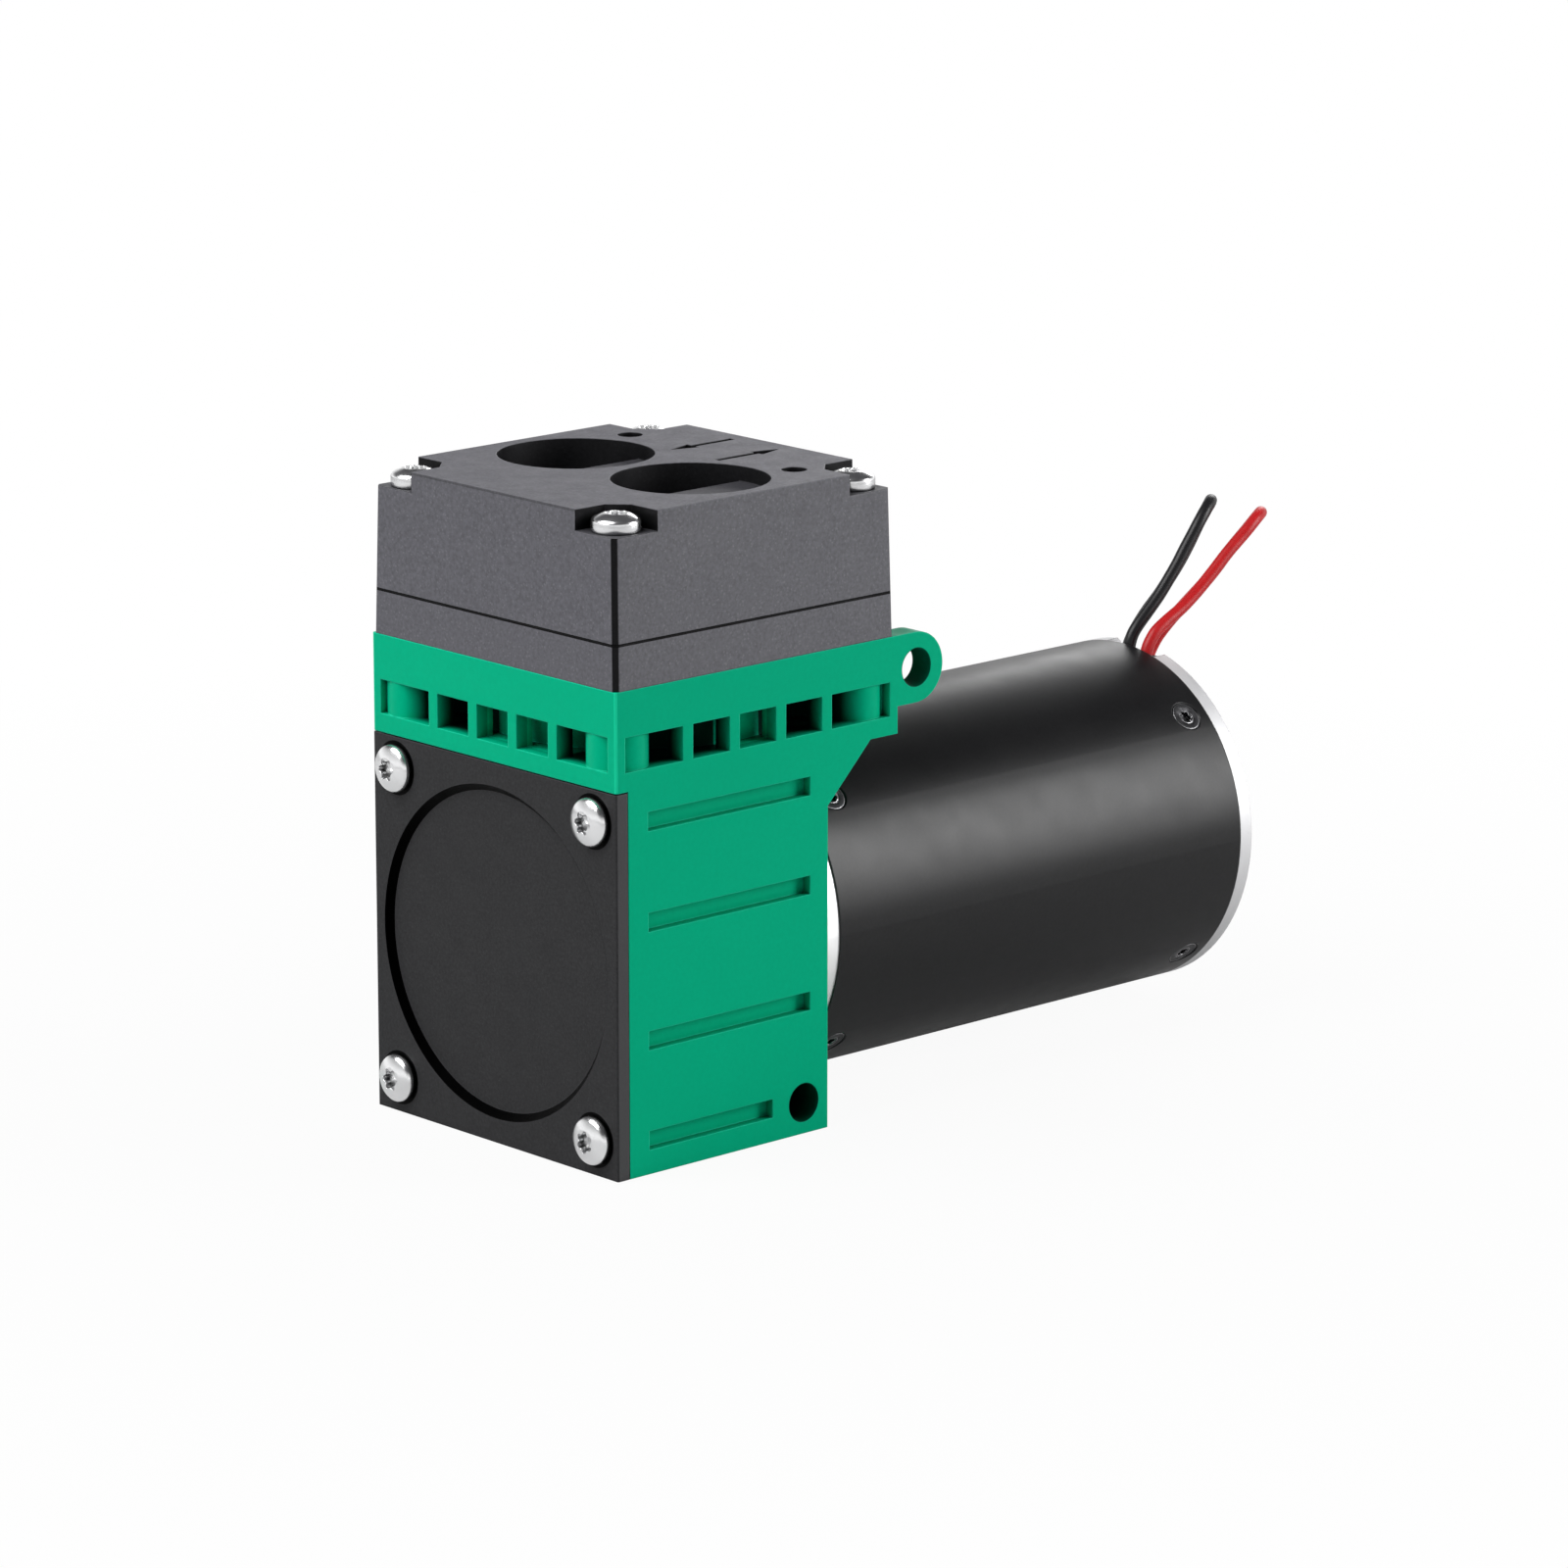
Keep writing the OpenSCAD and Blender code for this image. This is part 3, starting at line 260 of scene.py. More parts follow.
class Look:
    """A procedural material in the part's own coordinates, in metres."""

    def __init__(self, name):
        self.mat = bpy.data.materials.new(name)
        self.mat.use_nodes = True
        self.tree = self.mat.node_tree
        self.tree.nodes.clear()
        self.out = self.node("ShaderNodeOutputMaterial")
        self.shader = self.node("ShaderNodeBsdfPrincipled")
        self.link(self.shader.outputs[0], self.out.inputs[0])
        self.coord = self.node("ShaderNodeTexCoord").outputs["Object"]

    def node(self, kind, values=None, **settings):
        return add_node(self.tree, kind, values, **settings)

    def link(self, a, b):
        self.tree.links.new(a, b)

    def close(self, tone, rough, normal, **values):
        """The finished material, with plain values on the shader's other inputs."""
        for key, source in (("Base Color", tone), ("Roughness", rough), ("Normal", normal)):
            self.link(source, self.shader.inputs[key])
        for key, value in values.items():
            self.shader.inputs[key.replace("_", " ")].default_value = value
        return self.mat

    # Numbers
    def math(self, op, a, b=None):
        made = self.node("ShaderNodeMath", operation=op)
        for socket, value in zip(made.inputs, (a, b)):
            if isinstance(value, (int, float)):
                socket.default_value = value
            elif value is not None:
                self.link(value, socket)
        return made.outputs[0]

    def plus(self, a, b):
        return self.math("ADD", a, b)

    def minus(self, a, b):
        return self.math("SUBTRACT", a, b)

    def times(self, a, b):
        return self.math("MULTIPLY", a, b)

    def most(self, a, b):
        return self.math("MAXIMUM", a, b)

    def size(self, a):
        return self.math("ABSOLUTE", a)

    def reach(self, a, b):
        """The length of the vector (a, b)."""
        return self.math("SQRT", self.plus(self.times(a, a), self.times(b, b)))

    def remap(self, value, low, high, a, b):
        """A value's range from low to high taken to a to b."""
        limits = {"From Min": low, "From Max": high, "To Min": a, "To Max": b}
        made = self.node("ShaderNodeMapRange", limits)
        self.link(value, made.inputs["Value"])
        return made.outputs[0]

    def vary(self, noise, a, b):
        """A noise's usual values taken to a to b."""
        return self.remap(noise, NOISE_LOW, NOISE_HIGH, a, b)

    def axes(self, vector=None):
        """The three parts of a vector, or else of the point on the part."""
        split = self.node("ShaderNodeSeparateXYZ")
        self.link(self.coord if vector is None else vector, split.inputs[0])
        return tuple(split.outputs)

    def where(self, *limits):
        """1 where every value lies between its low and high limit, in mm or None, else 0."""
        result = None
        for value, low, high in limits:
            for op, limit in (("GREATER_THAN", low), ("LESS_THAN", high)):
                if limit is None:
                    continue
                test = self.math(op, value, limit * MM)
                result = test if result is None else self.times(result, test)
        return result

    def noise(self, scale, detail=3, rough=0.55, stretch=None):
        values = {"Scale": scale, "Detail": detail, "Roughness": rough}
        made = self.node("ShaderNodeTexNoise", values)
        source = self.coord
        if stretch:
            mapping = self.node("ShaderNodeMapping", {"Scale": stretch})
            self.link(self.coord, mapping.inputs["Vector"])
            source = mapping.outputs[0]
        self.link(source, made.inputs["Vector"])
        return made.outputs[0]

    # Colours
    def ramp(self, value, low, high, start=NOISE_LOW, end=NOISE_HIGH):
        """A colour from low to high, as a value goes from start to end."""
        made = self.node("ShaderNodeValToRGB")
        stops = zip(made.color_ramp.elements, (start, end), (low, high))
        for element, position, colour in stops:
            element.position = position
            element.color = (*colour, 1)
        self.link(value, made.inputs[0])
        return made.outputs[0]

    def mix(self, factor, tone, colour):
        """A tone with a share of a plain colour."""
        made = self.node("ShaderNodeMix", data_type="RGBA")
        made.inputs[7].default_value = (*colour, 1)
        self.link(factor, made.inputs[0])
        self.link(tone, made.inputs[6])
        return made.outputs[2]

    def shade(self, tone, amount):
        """A tone times a number."""
        made = self.node("ShaderNodeVectorMath", operation="SCALE")
        self.link(tone, made.inputs[0])
        self.link(amount, made.inputs["Scale"])
        return made.outputs["Vector"]

    def darken(self, tone, mask):
        """A tone that goes to black where a mask is 1."""
        return self.shade(tone, self.minus(1, mask))

    def hollow_shade(self, tone, distance, deep, open_face, least):
        """Painted shade: a tone darkened by ambient occlusion to the least share deep in corners
        and cavities.
        """
        made = self.node("ShaderNodeAmbientOcclusion", {"Distance": distance}, samples=8)
        return self.shade(tone, self.remap(made.outputs["AO"], deep, open_face, least, 1))

    # Normals
    def bump(self, height, strength, distance, normal=None):
        made = self.node("ShaderNodeBump", {"Strength": strength, "Distance": distance})
        self.link(height, made.inputs["Height"])
        if normal is not None:
            self.link(normal, made.inputs["Normal"])
        return made.outputs[0]

    def bevel(self, radius):
        return self.node("ShaderNodeBevel", {"Radius": radius}, samples=6).outputs[0]

    def facing(self):
        return self.node("ShaderNodeNewGeometry").outputs["Normal"]

    def edges(self, radius):
        """About 1 on an edge and 0 on a flat face, and the rounded normal."""
        normal = self.bevel(radius)
        made = self.node("ShaderNodeVectorMath", operation="DOT_PRODUCT")
        self.link(normal, made.inputs[0])
        self.link(self.facing(), made.inputs[1])
        return self.remap(made.outputs["Value"], 1.0, 0.86, 0, 1), normal


def plastic(name, colour, spread, rough, grain, bump, height, specks=None, edge=None,
            radius=0.0002, specular=0.5, hollow_shade=None, paint=None, tint=(1, 1, 1)):
    """Moulded plastic or rubber. A paint is a function that paints shade, and on some pieces light,
    onto parts of the piece; an edge colour is a painted highlight on the edges.
    """
    look = Look(name)
    fine = look.noise(grain, 4, 0.6)
    tone = look.ramp(fine, tinted(colour, 1 - spread), tinted(colour, 1 + spread))
    tone = look.mix(look.vary(look.noise(60, 3, 0.5), 0, 0.35), tone, tinted(colour, 0.9))
    if specks:
        scale, speck, share = specks
        cells = look.node("ShaderNodeTexVoronoi", {"Scale": scale})
        look.link(look.coord, cells.inputs["Vector"])
        mask = look.remap(cells.outputs["Distance"], 0.12, 0.3, share, 0)
        tone = look.mix(mask, tone, speck)
    painted_edge, normal = look.edges(radius)
    # Painted highlight: the edges mixed towards a lighter colour
    if edge:
        tone = look.mix(look.times(painted_edge, edge[1]), tone, edge[0])
    if paint:
        tone = paint(look, tone)
    if hollow_shade:
        tone = look.hollow_shade(tone, *hollow_shade)
    return look.close(tone, look.vary(look.noise(300, 4), *rough),
                      look.bump(fine, bump, height, normal),
                      Specular_IOR_Level=specular, Specular_Tint=(*tint, 1))


def metal(name, colour, rough, grain, stretch=None, spread=0.08, bump=0.1, radius=0.00012,
          stain=None, hollow_shade=None, edge=None):
    """Plain metal, its edges a little brighter with a painted highlight."""
    look = Look(name)
    fine = look.noise(grain, 4, 0.6, stretch)
    tone = look.ramp(fine, tinted(colour, 1 - spread), colour)
    if stain:
        tone = look.mix(look.remap(look.noise(120, 3), 0.45, 0.75, 0, stain[1]), tone, stain[0])
    painted_edge, normal = look.edges(radius)
    # Painted highlight: the edges mixed towards a brighter colour
    shine, share = edge or (tinted(colour, 1.15), 0.3)
    tone = look.mix(look.times(painted_edge, share), tone, shine)
    if hollow_shade:
        tone = look.hollow_shade(tone, *hollow_shade)
    return look.close(tone, look.vary(look.noise(400, 4), *rough),
                      look.bump(fine, bump, 0.00001, normal), Metallic=1.0)


def turned_metal(name, colour, rough, pitch, bump=0.08, metallic=1.0, spread=0.12, rim=0.0):
    """Metal with fine turning rings about the motor's axis, its edges darkened by rim as painted
    shade.
    """
    look = Look(name)
    x, y, z = look.axes()
    radial = look.reach(x, look.minus(z, AXIS_Z * MM))
    joined = look.node("ShaderNodeCombineXYZ")
    look.link(look.times(radial, pitch), joined.inputs[0])
    look.link(look.times(y, pitch * 0.6), joined.inputs[1])
    rings = look.node("ShaderNodeTexNoise", {"Scale": 1, "Detail": 2})
    look.link(joined.outputs[0], rings.inputs["Vector"])
    grooves = rings.outputs[0]
    tone = look.ramp(grooves, tinted(colour, 1 - spread), colour)
    blotches = look.remap(look.noise(150, 4), 0.4, 0.75, 0, spread * 2)
    tone = look.mix(blotches, tone, tinted(colour, 0.82))
    painted_edge, normal = look.edges(0.00015)
    # Painted shade on the edges, as strong as rim
    tone = look.mix(look.times(painted_edge, rim), tone, (0.1, 0.1, 0.1))
    return look.close(tone, look.vary(look.noise(500, 4), *rough),
                      look.bump(grooves, bump, 0.00001, normal), Metallic=metallic)


def tube_paint():
    """Satin black coating of the motor tube, with a fine grain."""
    look = Look("motor_tube_coating")
    fine = look.noise(2600, 4, 0.6)
    tone = look.ramp(fine, (0.0055, 0.0055, 0.006), (0.0095, 0.0095, 0.0105))
    painted_edge, normal = look.edges(0.00018)
    # Painted highlight: the coating's edges a little lighter
    tone = look.mix(look.times(painted_edge, 0.35), tone, (0.09, 0.09, 0.095))
    return look.close(tone, look.vary(look.noise(200, 4), 0.33, 0.38),
                      look.bump(fine, 0.12, 0.00001, normal), Specular_IOR_Level=0.28)


def board_look():
    """Solder mask with copper tracks under it."""
    look = Look("board_green")
    brick = look.node("ShaderNodeTexBrick", {
        "Scale": 260, "Mortar Size": 0.06, "Color1": (0.01, 0.11, 0.045, 1),
        "Color2": (0.012, 0.13, 0.05, 1), "Mortar": (0.03, 0.24, 0.1, 1)})
    mapping = look.node("ShaderNodeMapping", {"Rotation": (math.radians(90), 0, 0)})
    look.link(look.coord, mapping.inputs["Vector"])
    look.link(mapping.outputs[0], brick.inputs["Vector"])
    fine = look.noise(3000, 3)
    tone = look.mix(look.vary(fine, 0, 0.3), brick.outputs[0], (0.008, 0.09, 0.04))
    return look.close(tone, look.vary(fine, 0.2, 0.35),
                      look.bump(brick.outputs["Fac"], 0.3, 0.00004, look.bevel(0.0001)))


def layered(name, scale, low, high, start, end, distortion=0.0):
    """A look with fine bands across the motor's axis, the bands, and their colour."""
    look = Look(name)
    wave = look.node("ShaderNodeTexWave", {"Scale": scale, "Distortion": distortion},
                     wave_type="BANDS", bands_direction="Y")
    look.link(look.coord, wave.inputs["Vector"])
    bands = wave.outputs["Fac"]
    return look, bands, look.ramp(bands, low, high, start, end)


def winding_look():
    """Enamelled copper wire laid side by side."""
    look, bands, tone = layered("copper_wire", 900, (0.16, 0.045, 0.012), (0.75, 0.3, 0.11),
                                0.1, 0.7, 0.6)
    return look.close(tone, look.vary(look.noise(900), 0.22, 0.36),
                      look.bump(bands, 0.6, 0.00012, look.bevel(0.0004)), Metallic=0.9)


def lamination_look():
    """Stacked sheets of the stator, seen as fine lines across the motor's axis."""
    look, bands, tone = layered("core_steel", 640, (0.06, 0.062, 0.068), (0.3, 0.305, 0.32),
                                0.05, 0.4)
    tone = look.mix(look.remap(look.noise(500), 0.4, 0.7, 0, 0.4), tone, (0.2, 0.19, 0.18))
    return look.close(tone, look.vary(look.noise(900), 0.3, 0.5),
                      look.bump(bands, 0.4, 0.00008, look.bevel(0.0001)), Metallic=1.0)


def insulation(name, colour):
    """Soft glossy sheath of a lead."""
    look = Look(name)
    broad = look.noise(120, 2)
    tone = look.ramp(look.noise(1800, 3), tinted(colour, 0.85), colour)
    tone = look.mix(look.remap(broad, 0.35, 0.7, 0, 0.3), tone, tinted(colour, 0.8))
    return look.close(tone, look.vary(broad, 0.3, 0.42),
                      look.bump(look.noise(500, 2), 0.03, 0.00002), Specular_IOR_Level=0.3)


def band_paint(look, tone):
    """Painted shade on the surfaces behind the band's windows and in the bores, a painted pool of
    light on the webs behind the windows, and a painted highlight on the corner edges.
    """
    x, y, z = look.axes()
    wide = look.size(x)
    ends = look.math("MINIMUM", look.minus(y, BAND_FRONT * MM), look.minus(BAND_REAR * MM, y))
    depth = look.math("MINIMUM", look.minus(BAND_HALF_W * MM, wide), ends)
    windows = look.where((z, *WINDOWS_Z))
    # Painted shade that grows with the depth behind the windows
    lost = look.remap(depth, 0.35 * MM, 2.1 * MM, 0, 0.95)

    # Less painted shade on the corner posts and the webs behind three windows, and a painted pool
    # of light on those webs
    from_middle = look.size(look.minus(y, BAND_MID_Y * MM))
    posts = look.where((wide, 16.5, None), (from_middle, 18, None))
    webs = look.most(look.where((x, 14, None), (y, 0.8, 7.6)),
                     look.where((x, -3.2, 10.2), (y, None, -10)))
    for mask, share in ((posts, 0.35), (webs, 0.1)):
        lost = look.times(lost, look.remap(mask, 0, 1, 1, share))
    lost = look.times(lost, windows)
    lit = look.times(webs, look.times(windows, look.where((depth, 1.6, None))))

    # Painted shade inside the eye bore and the foot hole
    for (mid_y, mid_z), share in ((EYE_BORE, 0.75), (FOOT_HOLE, 0.85)):
        radial = look.reach(look.minus(y, mid_y * MM), look.minus(z, mid_z * MM))
        bore = look.where((radial, None, 2.32), (depth, None, 21))
        lost = look.most(lost, look.times(bore, share))

    # Painted highlight along the band's front corner edges
    corner_highlight = look.where((look.minus(wide, y), 37.82, None), (z, BAND_FOOT, None))
    tone = look.mix(corner_highlight, tone, (0.012, 0.66, 0.36))
    return look.darken(look.shade(tone, look.remap(lit, 0, 1, 1, 1.9)), lost)


def head_paint(look, tone):
    """Painted shade in the head's cavities, on its notch walls, in the joint between its parts and
    on its corner and top front edges.
    """
    x, y, z = look.axes()
    wide = look.size(x)
    deep = look.size(look.minus(y, HEAD_MID_Y * MM))
    facing = look.axes(look.facing())
    level = look.math("GREATER_THAN", facing[2], 0.7)

    # Painted shade in the pockets, less of it on their raised floors, and in the grooves of the
    # arrows
    inside = look.most(
        look.where((wide, None, 19.3), (deep, None, 14.3), (z, None, HEAD_TOP)),
        look.where((wide, None, 6.5), (deep, None, 19.8), (z, 70, HEAD_TOP)))
    floors = look.times(level, look.where((z, 73.9, 74.4)))
    inside = look.times(inside, look.remap(floors, 0, 1, 0.88, 0.5))

    # Painted shade on the screws' notches, less of it on their level floors
    notch = look.where((wide, 14.1, 20.9), (deep, 14.5, 21.1), (z, 73.47, HEAD_TOP))
    walls = look.times(notch, look.remap(level, 0, 1, 0.93, 0.35))

    # Painted shade on the corner edges, which lean inwards: the taper of both sides, and what they
    # differ by
    both_taper, taper_apart, sides_apart = 0.8, 0.2, 0.2
    up = look.minus(z, HEAD_FOOT * MM)
    out = look.plus(look.plus(wide, deep), look.times(up, both_taper / HEAD_H))
    aside = look.plus(look.times(up, taper_apart / HEAD_H), sides_apart * MM)
    aside = look.size(look.plus(look.minus(wide, deep), aside))
    corner = look.math("GREATER_THAN", out, (HEAD_HALF_W + HEAD_HALF_D - 0.615) * MM)
    corner = look.times(corner, look.remap(aside, 0.46 * MM, 0.58 * MM, 1, 0))

    # Painted shade in the joint between the head's parts and along the top front edge
    joint = look.where((z, 61.33, 61.67))
    rim = look.times(look.where((z, 75.6, None)), look.math("LESS_THAN", facing[1], -0.5))
    dark = look.most(inside, walls)
    for mask, share in ((joint, 0.98), (corner, 0.93), (rim, 0.45)):
        dark = look.most(dark, look.times(mask, share))
    # The painted shade also turns the surface metallic, so that the black there reflects nothing
    look.link(look.remap(dark, 0.5, 1, 0, 0.9), look.shader.inputs["Metallic"])
    return look.darken(tone, dark)


def cover_paint(look, tone):
    """Painted shade, near black, on the recess's slope and as a shadow ring round each screw, and
    painted light on the plate's sides.
    """
    x, y, z = look.axes()
    wide = look.size(x)
    recess = look.reach(x, look.minus(z, RECESS_MID_Z * MM))
    # Painted shade on the recess's slope
    slope = look.where((recess, 18.68, 19.52), (y, None, -16.15))
    # Painted light: the plate's sides lighter
    side = look.where((wide, 20.9, None), (y, -16.8, None))
    tone = look.mix(look.times(side, 0.6), tone, (0.075, 0.074, 0.077))
    # Painted shadow in a ring round each screw head
    high = look.size(look.minus(z, COVER_MID_Z * MM))
    screw = look.reach(look.minus(wide, COVER_SCREW_X * MM), look.minus(high, COVER_SCREW_UP * MM))
    dark = look.most(slope, look.where((screw, None, 3.2)))
    # The painted shade also turns the surface metallic, so that it reflects nothing
    look.link(dark, look.shader.inputs["Metallic"])
    return look.darken(tone, look.times(dark, 0.98))


def make_looks():
    """All materials. An edge is the colour and share of a painted highlight on the edges. The
    painted shade in corners and cavities is given as a distance in metres, its two limits and the
    least share.
    """
    looks = {}
    looks["green"] = plastic("green_plastic", (0.0, 0.415, 0.218), 0.04, (0.36, 0.48), 1800, 0.1,
                             0.00001, edge=((0.03, 0.7, 0.45), 0.55), radius=0.00022, specular=0.07,
                             hollow_shade=(0.007, 0.1, 0.38, 0.08), paint=band_paint,
                             tint=(0.1, 1.0, 0.75))
    looks["head"] = plastic("grey_plastic", (0.088, 0.087, 0.101), 0.3, (0.44, 0.58), 2300, 0.35,
                            0.00002, specks=(1900, (0.22, 0.22, 0.24), 0.3),
                            edge=((0.24, 0.24, 0.27), 0.3), radius=0.0002,
                            hollow_shade=(0.003, 0.1, 0.7, 0.05), paint=head_paint, specular=0.5)
    looks["cover"] = plastic("black_plastic", (0.0215, 0.0215, 0.023), 0.3, (0.5, 0.62), 2600, 0.4,
                             0.00002, specks=(2300, (0.045, 0.045, 0.048), 0.3),
                             edge=((0.09, 0.09, 0.1), 0.4), radius=0.0002,
                             hollow_shade=(0.002, 0.1, 0.6, 0.02), paint=cover_paint, specular=0.22)
    looks["rubber"] = plastic("black_rubber", (0.016, 0.016, 0.017), 0.3, (0.62, 0.8), 1500, 0.3,
                              0.00003, radius=0.0002, specular=0.35)
    # Painted shade darkens the screws near the parts they hold and in their drives
    looks["zinc"] = metal("zinc_steel", (0.97, 0.973, 0.98), (0.2, 0.27), 900, None, 0.03, 0.06,
                          radius=0.00006, stain=((0.72, 0.73, 0.76), 0.2),
                          hollow_shade=(0.0014, 0.4, 0.74, 0.1))
    # Painted highlight on the edges of the tube's screws
    looks["black_steel"] = metal("black_steel", (0.075, 0.075, 0.079), (0.34, 0.44), 1500,
                                 radius=0.0002, hollow_shade=(0.0005, 0.5, 0.9, 0.02),
                                 edge=((0.6, 0.6, 0.62), 0.8))
    looks["bearing"] = metal("bearing_steel", (0.62, 0.63, 0.65), (0.08, 0.18), 2500)
    looks["aluminium"] = metal("turned_aluminium", (0.66, 0.67, 0.69), (0.28, 0.42), 2500,
                               (1, 4, 1), 0.12, 0.2)
    looks["weight"] = turned_metal("turned_brass", (0.62, 0.46, 0.2), (0.24, 0.38), 7000)
    # Painted shade on the cap's edges
    looks["cap"] = turned_metal("cast_aluminium", (0.72, 0.72, 0.73), (0.5, 0.58), 8000, bump=0.03,
                                metallic=0.6, spread=0.03, rim=0.5)
    looks["flange"] = turned_metal("bright_aluminium", (1.0, 1.0, 1.0), (0.4, 0.5), 8000, bump=0.03,
                                   metallic=0.9, spread=0.01)
    looks["tube"] = tube_paint()
    looks["magnet"] = metal("dark_magnet", (0.16, 0.165, 0.175), (0.34, 0.5), 2200, None, 0.2, 0.3)
    looks["core"] = lamination_look()
    looks["copper"] = winding_look()
    looks["board"] = board_look()
    looks["black_lead"] = insulation("black_insulation", (0.012, 0.012, 0.0135))
    looks["red_lead"] = insulation("red_insulation", (0.52, 0.012, 0.014))
    looks["tin"] = metal("tinned_copper", (0.66, 0.64, 0.6), (0.2, 0.34), 3000, None, 0.15, 0.2)
    looks["nylon"] = plastic("tie_nylon", (0.018, 0.018, 0.019), 0.15, (0.36, 0.5), 900, 0.15,
                             0.00002)
    return looks


LOOK_NODES = {
    "green": "crankcase",
    "head": "valve_plate head_cover",
    "cover": "front_cover",
    "rubber": "diaphragm inlet_valve_disc outlet_valve_disc head_gasket lead_grommet",
    "zinc": "clamp_screw cover_screws head_screws flange_screws board_screws",
    "black_steel": "eccentric_set_screw tube_screws",
    "aluminium": "clamp_disc connecting_rod",
    "weight": "eccentric_counterweight",
    "bearing": "motor_shaft wave_washer",
    "magnet": "rotor_magnet",
    "core": "stator_core",
    "copper": "stator_windings",
    "board": "driver_board",
    "flange": "motor_front_flange",
    "cap": "motor_rear_cap",
    "tube": "motor_tube",
    "nylon": "lead_tie",
    "black_lead": "black_lead black_lead_coil",
    "red_lead": "red_lead red_lead_coil",
}
for bearing in ("rod", "front", "rear"):
    for piece in ("outer_ring", "balls", "inner_ring"):
        LOOK_NODES["bearing"] += f" {bearing}_bearing_{piece}"


def dress_nodes(looks):
    for key, names in LOOK_NODES.items():
        for name in names.split():
            for slot in nodes[name].material_slots:
                slot.material = looks[key]


# Leads, from the cap's notch over the turn at the top to the coil on the ground, in mm
BLACK_ROUTE = [
    (0.5, 84.5, 41.9), (0.5, 84.7, 43), (0.5, 85.2, 44.1), (0.5, 86.1, 45.1), (0.5, 87.7, 46.5),
    (0.5, 89.6, 48.2), (0.5, 91.2, 49.9), (0.5, 92.8, 51.7), (0.5, 94.1, 53.4), (0.5, 95.4, 55),
    (0.5, 96.6, 56.5), (0.2, 98, 57.7), (-0.6, 99.6, 58.4), (-1.9, 101.1, 58.2),
    (-3.2, 102.2, 57.4), (-4.5, 102.6, 56), (-5.3, 102.3, 54.3), (-5.7, 101.3, 52.2),
    (-6.2, 100.1, 49.9), (-6.8, 98.8, 47.7), (-7.3, 97.5, 45.8), (-8, 96, 43.7), (-8.8, 94.6, 41),
    (-9.7, 94.2, 38), (-10.7, 94.6, 35.2), (-11.8, 95.3, 32.4), (-13.1, 96, 29.4),
    (-14.8, 96.5, 25.9), (-16.2, 96.7, 22.2), (-17.3, 96.8, 18.2), (-18, 96.8, 13.6),
    (-18.8, 96.4, 9), (-20.2, 95.4, 5), (-22.3, 93.5, 2.4), (-24.4, 90.9, 1.2), (-26, 87.5, 0.8),
    (-26.7, 83.8, 0.8), (-26.7, 80, 0.9), (-26.7, 76.6, 1.1)]
RED_ROUTE = [
    (3.4, 84.5, 41.9), (3.4, 84.9, 43), (3.4, 85.5, 43.9), (3.4, 86.4, 44.8), (3.4, 88.2, 45.8),
    (3.4, 90.7, 47), (3.4, 93.4, 48.7), (3.4, 96.2, 50.8), (3.4, 98.7, 52.8), (3.4, 101, 54.4),
    (3.4, 102.4, 55.4), (3.1, 104, 56.3), (2.2, 105.7, 56.6), (0.9, 107, 56.2),
    (-0.6, 107.8, 55.2), (-1.9, 107.7, 53.7), (-2.8, 106.8, 52.1), (-3.2, 105.4, 50.6),
    (-3.4, 103.9, 49.1), (-3.7, 102.5, 47.7), (-4.2, 100.8, 46.1), (-4.8, 99.2, 44.5),
    (-5.6, 97.7, 42.7), (-6.6, 96.4, 40.4), (-7.8, 96, 37.4), (-9.2, 96.7, 34.2),
    (-10.8, 97.6, 30.6), (-12.5, 98.2, 26.6), (-13.9, 98.9, 22.4), (-15, 99.7, 18),
    (-16, 100.1, 13.4), (-17.1, 99.8, 9), (-18.8, 98.6, 5), (-21.3, 96.8, 2.4), (-24, 94.2, 1.1),
    (-26.5, 91, 0.8), (-28, 87.3, 0.8), (-28.5, 83.6, 1.1), (-28.1, 79.2, 2)]
LEAD_D = 1.55
COIL = (-36.0, 70.0)
COIL_OUTER, COIL_INNER = 9.22, 7.64


def smooth_path(points, steps=4):
    """Points on a smooth curve through the given ones."""
    pts = [Vector(p) for p in points]
    path = []
    for n in range(len(pts) - 1):
        a = pts[max(n - 1, 0)]
        b, c = pts[n], pts[n + 1]
        d = pts[min(n + 2, len(pts) - 1)]
        for k in range(steps):
            t = k / steps
            path.append(0.5 * ((2 * b) + (c - a) * t + (2 * a - 5 * b + 4 * c - d) * t * t
                               + (3 * b - a - 3 * c + d) * t ** 3))
    path.append(pts[-1])
    return path


def coil_radius(turn):
    """Radius at a turn in degrees: outer turn, step in, inner turn, the end drawn inwards."""
    step, inner_turn, drawn_in = 300, 360, 640
    if turn < step:
        return COIL_OUTER
    if turn < inner_turn:
        t = (turn - step) / (inner_turn - step)
        return COIL_OUTER + (COIL_INNER - COIL_OUTER) * t * t * (3 - 2 * t)
    if turn < drawn_in:
        return COIL_INNER
    t = (turn - drawn_in) / 70
    return COIL_INNER - 1.6 * t * t


def lead_path(route, z):
    """The route, and then the coil at the height z."""
    cx, cy = COIL
    start = cx + COIL_OUTER
    points = [*route, (start, 72.0, z), (start, cy, z)]
    for turn in range(12, 691, 12):
        a = -math.radians(turn)
        r = coil_radius(turn)
        points.append((cx + r * math.cos(a), cy + r * math.sin(a), z))
    return smooth_path(points)


def make_lead(name, route, z, look, replaced):
    path = lead_path(route, z)
    curve = bpy.data.curves.new(name, "CURVE")
    curve.dimensions = "3D"
    curve.bevel_depth = LEAD_D / 2 * MM
    curve.bevel_resolution = 7
    curve.use_fill_caps = True
    spline = curve.splines.new("POLY")
    spline.points.add(len(path) - 1)
    for point, p in zip(spline.points, path):
        point.co = (*(p * MM), 1)
    spline.use_smooth = True
    curve.materials.append(look)
    obj = bpy.data.objects.new(name, curve)
    scene.collection.objects.link(obj)
    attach(obj, "housing")
    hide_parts(*replaced)
    length = sum((b - a).length for a, b in zip(path, path[1:]))
    return obj, path, length


